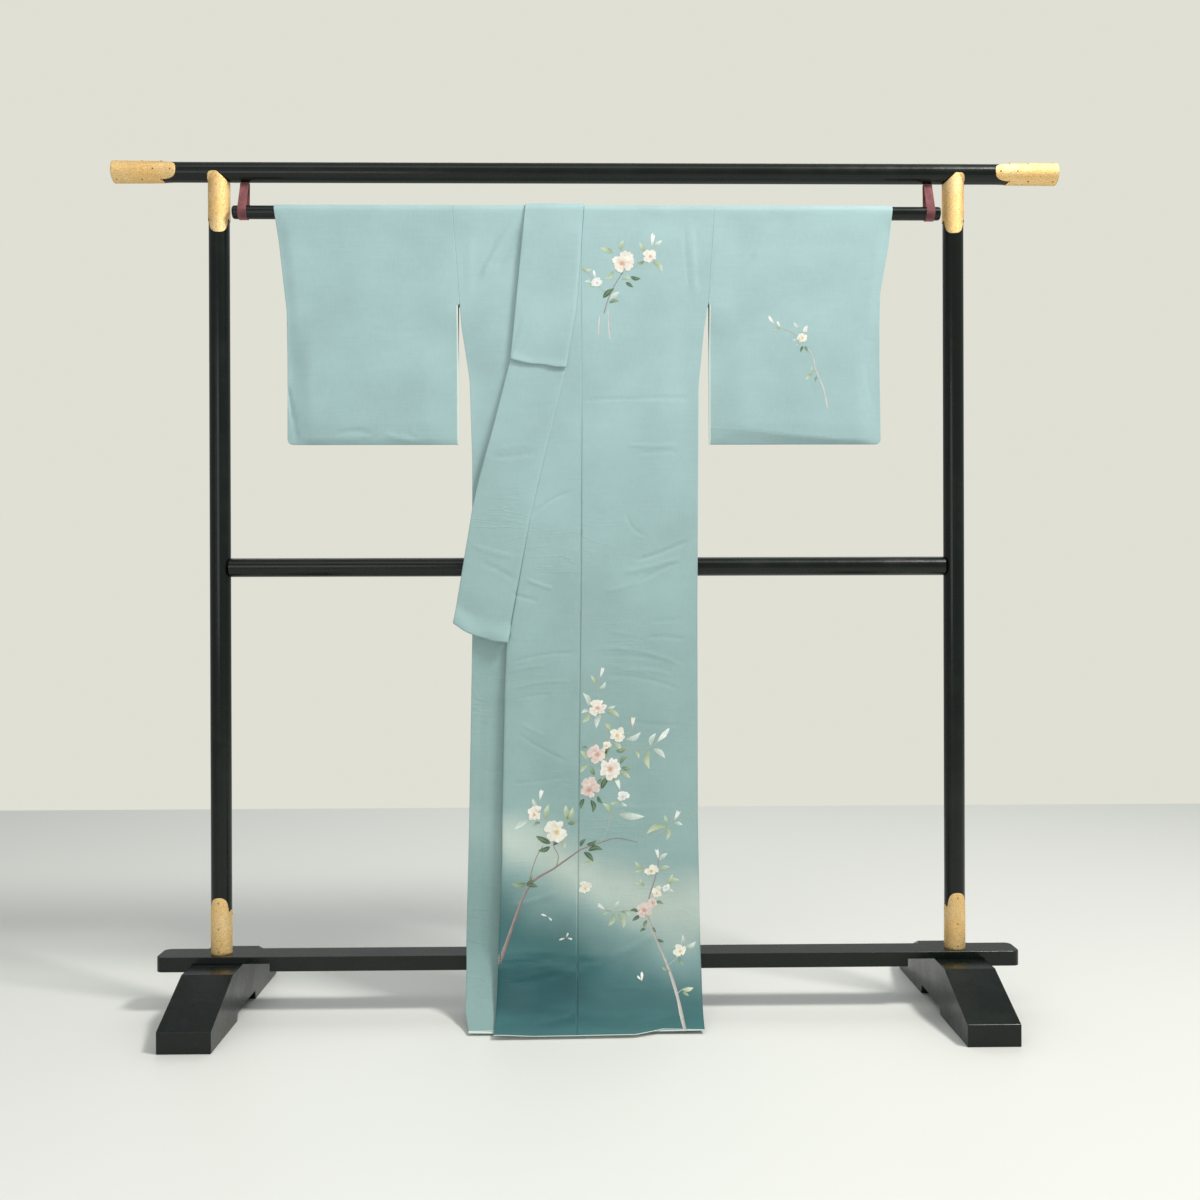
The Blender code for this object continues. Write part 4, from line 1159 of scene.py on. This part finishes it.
# blooms: x, level, radius, how far round in degrees, how flat, petals, colour
hemBlooms = [
    (0.015, 0.582, 0.0180, 12, 0.82, 6, "petalsBlush"), (0.052, 0.529, 0.0155, 50, 0.90, 5, "petalsCream"),
    (0.032, 0.508, 0.0085, 20, 0.90, 4, "petalsCream"), (0.014, 0.494, 0.0188, 30, 0.88, 5, "petalsPink"),
    (0.039, 0.467, 0.0222, 80, 0.92, 6, "petalsBlush"), (-0.001, 0.427, 0.0196, 64, 0.96, 6, "petalsPink"),
    (0.062, 0.412, 0.0120, 20, 0.80, 4, "petalsWhite"), (-0.063, 0.348, 0.0228, 5, 0.90, 5, "petalsCream"),
    (-0.105, 0.380, 0.0148, 64, 0.92, 5, "petalsBlush"), (-0.009, 0.240, 0.0120, 40, 0.95, 5, "petalsCream"),
    (0.116, 0.272, 0.0128, 15, 0.80, 5, "petalsCream"), (0.126, 0.230, 0.0118, 70, 0.84, 5, "petalsCream"),
    (0.102, 0.199, 0.0165, 25, 0.90, 6, "petalsPink"), (0.144, 0.240, 0.0085, 55, 0.76, 4, "petalsWhite"),
    (0.118, 0.212, 0.0090, 110, 0.90, 4, "petalsPink"), (0.170, 0.121, 0.0122, 35, 0.88, 5, "petalsCream"),
]
breastBlooms = [
    (0.065, 1.426, 0.0225, 20, 0.90, 6, "petalsBlush"), (0.118, 1.438, 0.0130, 60, 0.92, 5, "petalsBlush"),
    (0.017, 1.388, 0.0105, 10, 0.80, 4, "petalsWhite"),
]
sleeveBlooms = [
    (0.4085, 1.284, 0.0105, 30, 0.84, 5, "petalsCream"), (0.414, 1.298, 0.0070, 70, 0.70, 4, "petalsWhite"),
]

# buds and loose petals: x, level, way they point in degrees, length, colour
hemPetals = [
    (-0.080, 0.186, 158, 0.013, "petalsWhite"), (-0.080, 0.186, 316, 0.011, "petalsWhite"),
    (-0.046, 0.146, 62, 0.010, "petalsCream"), (-0.046, 0.146, 196, 0.013, "petalsCream"),
    (-0.044, 0.146, 344, 0.011, "petalsWhite"), (0.096, 0.064, 86, 0.017, "petalsWhite"),
    (0.096, 0.066, 132, 0.012, "petalsWhite"), (0.081, 0.540, 84, 0.024, "petalsBlush"),
    (0.020, 0.636, 72, 0.021, "petalsWhite"), (0.126, 0.512, 46, 0.034, "petalsWhite"),
    (0.159, 0.364, 62, 0.024, "petalsWhite"), (-0.095, 0.404, 78, 0.023, "petalsWhite"),
    (0.058, 0.422, 106, 0.024, "petalsWhite"), (0.130, 0.292, 100, 0.021, "petalsWhite"),
    (0.030, 0.197, 142, 0.019, "petalsWhite"), (0.202, 0.379, 24, 0.002, "petalsWhite"),
]
breastPetals = [
    (0.121, 1.454, 84, 0.026, "petalsWhite"), (-0.018, 1.418, 108, 0.026, "petalsWhite"),
    (0.014, 1.394, 104, 0.016, "petalsWhite"),
]
sleevePetals = [(0.367, 1.301, 118, 0.015, "petalsWhite"), (0.356, 1.308, 130, 0.020, "petalsWhite")]
leafShape = {
    "halfWidth": 0.19,  # a share of the length
    "narrowFrom": 0.024,  # longer leaves are narrower
    "bow": 0.16,
    "start": 0.10,
    "vein": 0.35,
    "veinTone": 0.75,
    "darkHalf": 0.86,
}
bloomShape = {
    "innerRing": 0.60,
    "lower": 0.16,  # the centre lies below the middle
    "wayward": 0.20,
    "uneven": 0.14,
    "longerAbove": 0.20,
    "overlap": 1.26,
    "ruffle": 0.22,
    "notch": 0.05,
    "veined": 0.16,
    "edged": 0.42,
    "stamens": 7,
    "stamenLength": 0.20,
    "stamenWidth": 0.020,
    "anther": 0.045,
}


def makePaintedSilk():
    material, tree, shader = newMaterial("painted silk", paint["roughness"])
    place = addPlace(tree)
    tint = addNode(tree, "ShaderNodeAttribute", attribute_name="paint").outputs["Color"]
    wash = addRange(tree, addNoise(tree, place, 120.0, 3.0), 0.3, 0.75, 0.90, 1.05)
    colour = addBlend(tree, 1.0, tint, wash, "MULTIPLY")
    setInputs(tree, shader, {"Base Color": colour, "Specular IOR Level": paint["specular"]})
    addBump(tree, shader, addNoise(tree, place, 900.0, 2.0), paint["grain"])
    return material


def onCloth(spotAt, names, x, level, lift):
    # the nearest place on the laid cloth, moved out from it
    spot = Vector(spotAt(x, level))
    found = [clothTrees[name].find_nearest(spot) for name in names]
    point, normal, _, _ = min(found, key=lambda hit: hit[3])
    return point + normal * (fall["wall"] / 2 + lift)


def tone(colours, amount):
    # along two or three colours as amount goes from 0 to 1
    run = amount * (len(colours) - 1)
    index = min(int(run), len(colours) - 2)
    return [mix(a, b, run - index) for a, b in zip(colours[index], colours[index + 1])]


def paintPatch(mesh, layOn, across, along, spotAt, colourAt, layer):
    # a patch of paint: spotAt and colourAt take a share along it and, from -1 to 1, a share across it
    tint = mesh.verts.layers.float_color["paint"]
    made = bmesh.ops.create_grid(mesh, x_segments=across, y_segments=along, size=0.5)["verts"]
    for vertex in made:
        aside, run = vertex.co.x * 2, vertex.co.y + 0.5
        x, level = spotAt(run, aside)
        vertex.co = layOn(x, level, paint["lift"] + layer * paint["layer"])
        vertex[tint] = (*colourAt(run, aside), 1)


def paintBranch(mesh, layOn, colours, startWidth, endWidth, places):
    count = len(places) - 1

    def middleAt(run):
        # a smooth curve through the places
        index = min(int(run * count), count - 1)
        t = run * count - index
        before, first = Vector(places[max(index - 1, 0)]), Vector(places[index])
        second, after = Vector(places[index + 1]), Vector(places[min(index + 2, count)])
        leaving, arriving = (second - before) / 2, (after - first) / 2
        a, b = 2 * (first - second) + leaving + arriving, 3 * (second - first) - 2 * leaving - arriving
        return a * t**3 + b * t**2 + leaving * t + first

    def spotAt(run, aside):
        ahead = middleAt(min(run + 0.01, 1)) - middleAt(max(run - 0.01, 0))
        sideways = Vector((ahead.y, -ahead.x)).normalized()
        knots = 1 + 0.22 * noise.noise(Vector((run * count * 3.1, startWidth * 900, places[0][0] * 50)))
        return middleAt(run) + sideways * aside * mix(startWidth, endWidth, run) / 2 * knots

    def colourAt(run, aside):
        return tone(colours, 0.5 - 0.45 * aside)

    paintPatch(mesh, layOn, 4, 26 * count, spotAt, colourAt, 1)


def paintLeaf(mesh, layOn, x, level, degrees, length, colours, layer):
    way = math.radians(degrees)
    ahead, sideways = Vector((math.cos(way), math.sin(way))), Vector((math.sin(way), -math.cos(way)))
    bow = leafShape["bow"] * math.sin(degrees * 3.7)
    broad = leafShape["halfWidth"]
    if length >= leafShape["narrowFrom"]:
        broad *= math.sqrt(leafShape["narrowFrom"] / length)

    def spotAt(run, aside):
        width = broad * math.sin(math.pi * run**0.85) ** 0.85 if 0 < run < 1 else 0
        middle = ahead * (leafShape["start"] + run) + sideways * bow * math.sin(math.pi * run)
        return Vector((x, level)) + (middle + sideways * aside * width) * length

    def colourAt(run, aside):
        colour = tone(colours, smooth(run) * 0.85 + 0.15 * abs(aside))
        vein = leafShape["vein"] * smooth(1 - abs(aside) / 0.25) * (1 - run)
        shade = leafShape["darkHalf"] if aside > 0 else 1.0
        return [mix(value, leafShape["veinTone"], vein) * shade for value in colour]

    paintPatch(mesh, layOn, 6, 12, spotAt, colourAt, layer)


def paintPetal(mesh, layOn, centre, way, reach, half, flat, turn, colours, layer):
    # one petal, from the bloom's centre out: half is half the angle that it spans
    wash = 0.96 + 0.05 * math.sin(7.3 * way + layer)

    def spotAt(run, aside):
        rounded = math.sqrt(max(1 - abs(aside) ** 2.4, 0)) * 0.55 + 0.45
        waves = noise.noise(Vector((way * 3 + aside * 2.6, reach * 800, 0.5)))
        ruffle = bloomShape["ruffle"] * waves * smooth(run / 0.6)
        notch = bloomShape["notch"] * smooth(1 - abs(aside) / 0.25)
        radius = run * reach * (rounded + ruffle - notch)
        angle = way + half * aside * (0.36 + 0.64 * math.sin(math.pi / 2 * min(run * 1.35, 1)))
        along, over = radius * math.cos(angle), radius * math.sin(angle) * flat
        return (
            centre[0] + along * math.cos(turn) - over * math.sin(turn),
            centre[1] + along * math.sin(turn) + over * math.cos(turn),
        )

    def colourAt(run, aside):
        colour = tone(colours, smooth(run * 1.25 - 0.07 * math.cos(9 * aside)))
        veined = bloomShape["veined"] * smooth(math.cos(7 * aside)) * (1 - run)
        edged = bloomShape["edged"] * smooth((abs(aside) - 0.72) / 0.28)
        shaded = [mix(value, own * 0.92, max(veined, edged)) for value, own in zip(colour, colours[0])]
        return [value * wash for value in shaded]

    paintPatch(mesh, layOn, 14, 8, spotAt, colourAt, layer)


def paintBloom(mesh, layOn, x, level, radius, degrees, flat, petals, colours):
    # two rings of petals, longer on the upper side, and stamens
    turn = math.radians(degrees)
    centre = (x, level - bloomShape["lower"] * radius)
    layer = 4
    for ring, count, size in ((0, petals, 1.0), (1, petals - 1, bloomShape["innerRing"])):
        for index in range(count):
            way = 2 * math.pi * (index + 0.45 * ring) / count
            way += bloomShape["wayward"] * math.sin(2.7 * index + degrees)
            uneven = bloomShape["uneven"] * math.sin(5.3 * index + degrees)
            reach = size * radius * (1 + uneven + bloomShape["longerAbove"] * math.sin(way + turn))
            half = math.pi / count * (bloomShape["overlap"] + 0.16 * math.sin(3.1 * index))
            paintPetal(mesh, layOn, centre, way, reach, half, flat, turn, colours, layer)
            layer += 1
    for index in range(bloomShape["stamens"]):
        way = 2 * math.pi * index / bloomShape["stamens"] + turn
        length = radius * (bloomShape["stamenLength"] + 0.06 * math.sin(index * 2.4))

        def spotAt(run, aside):
            thin = bloomShape["stamenWidth"] + bloomShape["anther"] * smooth((run - 0.72) / 0.2)
            along, over = length * run, radius * thin * aside
            across, rise = math.cos(way), math.sin(way)
            return centre[0] + along * across - over * rise, centre[1] + along * rise + over * across

        def colourAt(run, aside):
            return [mix(value, own, 0.25 + 0.6 * run) for value, own in zip(colours[0], paint["stamen"])]

        paintPatch(mesh, layOn, 1, 5, spotAt, colourAt, layer)


def paintSpray(name, names, spotAt, branches, leaves, blooms, petals, material):
    mesh = bmesh.new()
    mesh.verts.layers.float_color.new("paint")

    def layOn(x, level, lift):
        return onCloth(spotAt, names, x, level, lift)

    for colours, startWidth, endWidth, places in branches:
        paintBranch(mesh, layOn, paint[colours], startWidth, endWidth, places)
    for x, level, way, length, colours, *spread in leaves:
        sides = (-0.5 * spread[0], 0.5 * spread[0]) if spread else (0,)
        for index, side in enumerate(sides):
            long = length * (1 + 0.16 * math.sin(index * 4.1 + way))
            paintLeaf(mesh, layOn, x, level, way + side, long, paint[colours], 1 + index)
    for x, level, radius, degrees, flat, count, colours in blooms:
        paintBloom(mesh, layOn, x, level, radius, degrees, flat, count, paint[colours])
    for x, level, degrees, length, colours in petals:
        turn = math.radians(degrees)
        paintPetal(mesh, layOn, (x, level), 0, length, 0.34, 0.75, turn, paint[colours], 3)
    finishPiece(mesh, name, [material])


def paintGarment():
    material = makePaintedSilk()

    def leftFront(x, level):
        return x, *fallPoint(1, level, frontOffset(x, level, layers["frontLeft"] + paint["ahead"]))

    def leftSleeve(x, level):
        return x, lookup(sleeveFill, level) - lookup(sleeveFill, level, 2), level

    front = ["okumi_left", "body_left"]
    paintSpray("hem_spray", front, leftFront, hemBranches, hemLeaves, hemBlooms, hemPetals, material)
    paintSpray(
        "breast_spray", front + ["collar_left"], leftFront, breastBranches, breastLeaves, breastBlooms,
        breastPetals, material,
    )
    paintSpray(
        "sleeve_spray", ["sleeve_left"], leftSleeve, sleeveBranches, sleeveLeaves, sleeveBlooms,
        sleevePetals, material,
    )
    print("flowers painted")


# Stand
stand = {
    "beamZ": 1.6043,
    "beamRadius": 0.0190,
    "beamHalf": 0.9054,
    "capLength": 0.123,
    "postX": 0.7055,
    "fittingRadius": 0.0200,
    "fittingWall": 0.0006,
    "topFittingLow": 1.4847,
    "topFittingHigh": 1.6010,
    "tongueLength": 0.026,
    "tongueReach": 0.98,  # radians
    "notchDepth": 0.10,
    "notchReach": 0.30,
    "lapGap": 0.0012,
    "lapTurn": 0.16,
    "lapWidth": 0.92,
    "wrapSteps": 112,
    "nailRadius": 0.0015,
    "nailHeight": 0.55,
    "footFittingLow": 0.1101,
    "footFittingHigh": 0.2190,
    "lacquer": (0.0036, 0.0068, 0.0052, 1),
    "lacquerRubbed": (0.016, 0.022, 0.018, 1),
    "gold": (1.0, 0.72, 0.33, 1),
    "paleGold": (1.0, 0.87, 0.57, 1),
    "bronze": (0.40, 0.20, 0.06, 1),
    "nailDark": (0.16, 0.08, 0.035, 1),
    "nailPale": (0.34, 0.19, 0.08, 1),
    "velvet": (0.165, 0.050, 0.054, 1),
    "velvetRubbed": (0.27, 0.085, 0.095, 1),
    "velvetSheen": (0.85, 0.55, 0.55, 1),
}


def makeLacquer():
    material, tree, shader = newMaterial("black lacquer", 0.12)
    place = addPlace(tree)
    rub = addNoise(tree, place, 14.0, 4.0, 0.62)
    dust = addNoise(tree, place, 420.0, 2.0, 0.7)
    worn = addRange(tree, rub, 0.45, 0.80, 0.0, 0.35)
    greyed = addBlend(tree, worn, stand["lacquer"], stand["lacquerRubbed"])
    rubbed = addRange(tree, rub, 0.35, 0.75, 0.22, 0.34)
    setInputs(tree, shader, {
        "Base Color": greyed,
        "Roughness": addMath(tree, "MULTIPLY_ADD", addRange(tree, dust, 0.55, 0.8), 0.10, rubbed),
        "Specular IOR Level": 0.26,
        "Coat Weight": 0.12,
        "Coat Roughness": 0.12,
    })
    addBump(tree, shader, addNoise(tree, place, 46.0, 2.0, 0.5), 0.00035)
    return material


def makeGold():
    material, tree, shader = newMaterial("gilt metal", 0.34, 1.0)
    place = addPlace(tree)
    punched = addNode(tree, "ShaderNodeTexVoronoi", {"Vector": place, "Scale": 620.0}).outputs["Distance"]
    beaten = addNoise(tree, place, 52.0, 3.0, 0.6)
    addBump(tree, shader, addMath(tree, "MULTIPLY_ADD", beaten, 1.1, punched), 0.00055)
    tarnish = addRange(tree, addNoise(tree, place, 26.0, 4.0, 0.65), 0.40, 0.72, 0.0, 0.6)
    worn = addBlend(tree, tarnish, stand["gold"], stand["paleGold"])
    pitted = addBlend(tree, addRange(tree, punched, 0.46, 0.80, 0.0, 0.42), worn, stand["bronze"])
    roughness = addRange(tree, beaten, 0.3, 0.7, 0.58, 0.74)
    setInputs(tree, shader, {"Base Color": pitted, "Roughness": roughness})
    return material


def makeNailMetal():
    material, tree, shader = newMaterial("dark nail heads", 0.4, 1.0)
    mottle = addNoise(tree, addPlace(tree), 300.0)
    setInputs(tree, shader, {"Base Color": addBlend(tree, mottle, stand["nailDark"], stand["nailPale"])})
    return material


def makeVelvet():
    material, tree, shader = newMaterial("dark red velvet", 0.85)
    place = addPlace(tree)
    nap = addNoise(tree, place, 900.0, 3.0, 0.6)
    rubbed = addNoise(tree, place, 60.0, 2.0, 0.5)
    colour = addBlend(tree, addRange(tree, rubbed, 0.35, 0.7), stand["velvet"], stand["velvetRubbed"])
    setInputs(tree, shader, {
        "Base Color": colour,
        "Sheen Weight": 0.8,
        "Sheen Roughness": 0.4,
        "Sheen Tint": stand["velvetSheen"],
    })
    addBump(tree, shader, nap, 0.0005)
    return material


def tongue(angle):
    # 1 in the middle of the front and of the back, 0 at the sides, with a small notch beside each tongue
    reach = stand["tongueReach"]
    fromMiddle = min(abs(angle), abs(abs(angle) - math.pi))
    if fromMiddle < reach:
        return math.sqrt(1 - (fromMiddle / reach) ** 2.6)
    along = min((fromMiddle - reach) / stand["notchReach"], 1.0)
    return -stand["notchDepth"] * math.sin(math.pi * along)


def wrapMetal(mesh, spot, rows):
    # a sleeve of metal: spot(angle, row) gives each point, and angle 0 faces the front
    around, along = stand["wrapSteps"], len(rows) - 1
    made = bmesh.ops.create_grid(mesh, x_segments=around, y_segments=along, size=0.5)["verts"]
    for vertex in made:
        angle = vertex.co.x * 2 * math.pi
        row = rows[round((vertex.co.y + 0.5) * along)]
        vertex.co = Vector(spot(angle, row))
    bmesh.ops.remove_doubles(mesh, verts=made, dist=0.00001)
    bmesh.ops.recalc_face_normals(mesh, faces=mesh.faces)


def addNails(mesh, spots):
    # small domed nail heads: each spot is a point on the metal and the way it faces
    radius = stand["nailRadius"]
    for point, facing in spots:
        turn = Vector(facing).to_track_quat("Z", "Y").to_matrix().to_4x4()
        dome = Matrix.Translation(point) @ turn @ Matrix.Diagonal((1, 1, stand["nailHeight"], 1))
        made = bmesh.ops.create_uvsphere(mesh, u_segments=10, v_segments=6, radius=radius, matrix=dome)
        for face in {face for vertex in made["verts"] for face in vertex.link_faces}:
            face.material_index = 1


def addBevel(piece, name, width, segments):
    edge = piece.modifiers.new(name, "BEVEL")
    edge.width = width
    edge.segments = segments
    edge.limit_method = "ANGLE"
    edge.angle_limit = math.radians(50)


def makeFitting(name, spot, rows, nails, metals):
    mesh = bmesh.new()
    wrapMetal(mesh, spot, rows)
    bmesh.ops.solidify(mesh, geom=mesh.faces, thickness=stand["fittingWall"])
    bmesh.ops.recalc_face_normals(mesh, faces=mesh.faces)
    addNails(mesh, nails)
    addBevel(finishPiece(mesh, name, metals, [name]), "edge", 0.0003, 2)


def makePostFittings(side, x, metals):
    radius, beamZ = stand["fittingRadius"], stand["beamZ"]
    lapRadius = stand["beamRadius"] + stand["lapGap"]
    beamBottom = beamZ - stand["beamRadius"] - stand["lapGap"]

    def around(angle, z):
        outward = Vector((math.sin(angle), -math.cos(angle), 0))
        point = Vector((x, 0, z)) + outward * radius
        rise = z - beamZ
        beamFront = math.sqrt(max(lapRadius**2 - rise**2, 0))
        if z > beamBottom and abs(point.y) < beamFront:
            point.y = math.copysign(beamFront, point.y)
        return point

    def topSpot(angle, share):
        # the upper tongue laps the beam, cut slanting on its inner side
        turned = angle + math.copysign(stand["lapTurn"], x)
        low = stand["topFittingLow"] + stand["tongueLength"] * (1 - tongue(turned))
        inward = -math.copysign(1, x) * math.sin(angle) / stand["lapWidth"]
        lapping = math.sqrt(max(1 - inward**6, 0)) if inward < 0 else 1 - inward
        high = mix(beamBottom, stand["topFittingHigh"], max(lapping, 0))
        return around(angle, mix(low, high, share))

    nails = [((x, -radius, z), (0, -1, 0)) for z in (1.4945, 1.520, 1.548, 1.575, 1.592)]
    nails += [((x + 0.012, -radius * 0.8, z), (0.6, -0.8, 0)) for z in (1.508, 1.536, 1.563)]
    nails += [((x - 0.012, -radius * 0.8, z), (-0.6, -0.8, 0)) for z in (1.508, 1.536, 1.563)]
    nails += [((x, radius, z), (0, 1, 0)) for z in (1.4945, 1.548, 1.592)]
    makeFitting(f"post_top_fitting_{side}", topSpot, steps(0, 1, 30), nails, metals)

    def footSpot(angle, share):
        high = stand["footFittingHigh"] - stand["tongueLength"] * (1 - tongue(angle))
        return around(angle, mix(stand["footFittingLow"], high, share))

    nails = [((x, sign * radius, z), (0, sign, 0)) for sign in (-1, 1) for z in (0.117, 0.160, 0.209)]
    nails += [((x + sign * radius, 0, z), (sign, 0, 0)) for sign in (-1, 1) for z in (0.117, 0.185)]
    makeFitting(f"post_foot_fitting_{side}", footSpot, steps(0, 1, 20), nails, metals)


def makeBeamCap(side, sign, metals):
    endX, length, beamZ = stand["beamHalf"], stand["capLength"], stand["beamZ"]
    # share along the cap, radius: a slight flare, then a rounded end and a flat face
    profile = [(share, mix(0.0203, 0.0211, share)) for share in steps(0, 0.975, 22)]
    profile += [(0.988, 0.0211), (0.996, 0.0206), (1.0, 0.0197)]
    profile += [(1.0, 0.012), (0.999, 0.006), (0.9985, 0.0)]

    def capSpot(angle, row):
        share, radius = row
        inner = endX - length + stand["tongueLength"] * (1 - tongue(angle))
        x = mix(inner, endX, share)
        return sign * x, -math.cos(angle) * radius, beamZ + math.sin(angle) * radius

    nails = [((sign * x, -0.0207, beamZ), (0, -1, 0)) for x in (0.7925, 0.825)]
    for x in (0.812, 0.848, 0.896):
        nails.append(((sign * x, -0.0110, beamZ - 0.0176), (0, -0.53, -0.85)))
        nails.append(((sign * x, -0.0110, beamZ + 0.0176), (0, -0.53, 0.85)))
        nails.append(((sign * x, 0.0207, beamZ), (0, 1, 0)))
    makeFitting(f"beam_cap_{side}", capSpot, profile, nails, metals)


def dressStand():
    lacquer, velvet = makeLacquer(), makeVelvet()
    metals = [makeGold(), makeNailMetal()]
    for side, sign in (("right", -1), ("left", 1)):
        makePostFittings(side, sign * stand["postX"], metals)
        makeBeamCap(side, sign, metals)
    bars = ("top_beam", "middle_rail", "base_board", "rod", "post_right", "post_left", "foot_")
    for name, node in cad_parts.items():
        if name.startswith(bars):
            finish = velvet if name.startswith("rod_loop") else lacquer
            node.data.materials.clear()
            node.data.materials.append(finish)
    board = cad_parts["base_board"]
    weld = board.modifiers.new("weld", "WELD")
    weld.merge_threshold = 0.00001
    addBevel(board, "rounding", 0.0022, 3)
    print("stand dressed")


makeCamera()
makeLights()
makeFloor()
print("studio ready")
makeGarment()
paintGarment()
dressStand()
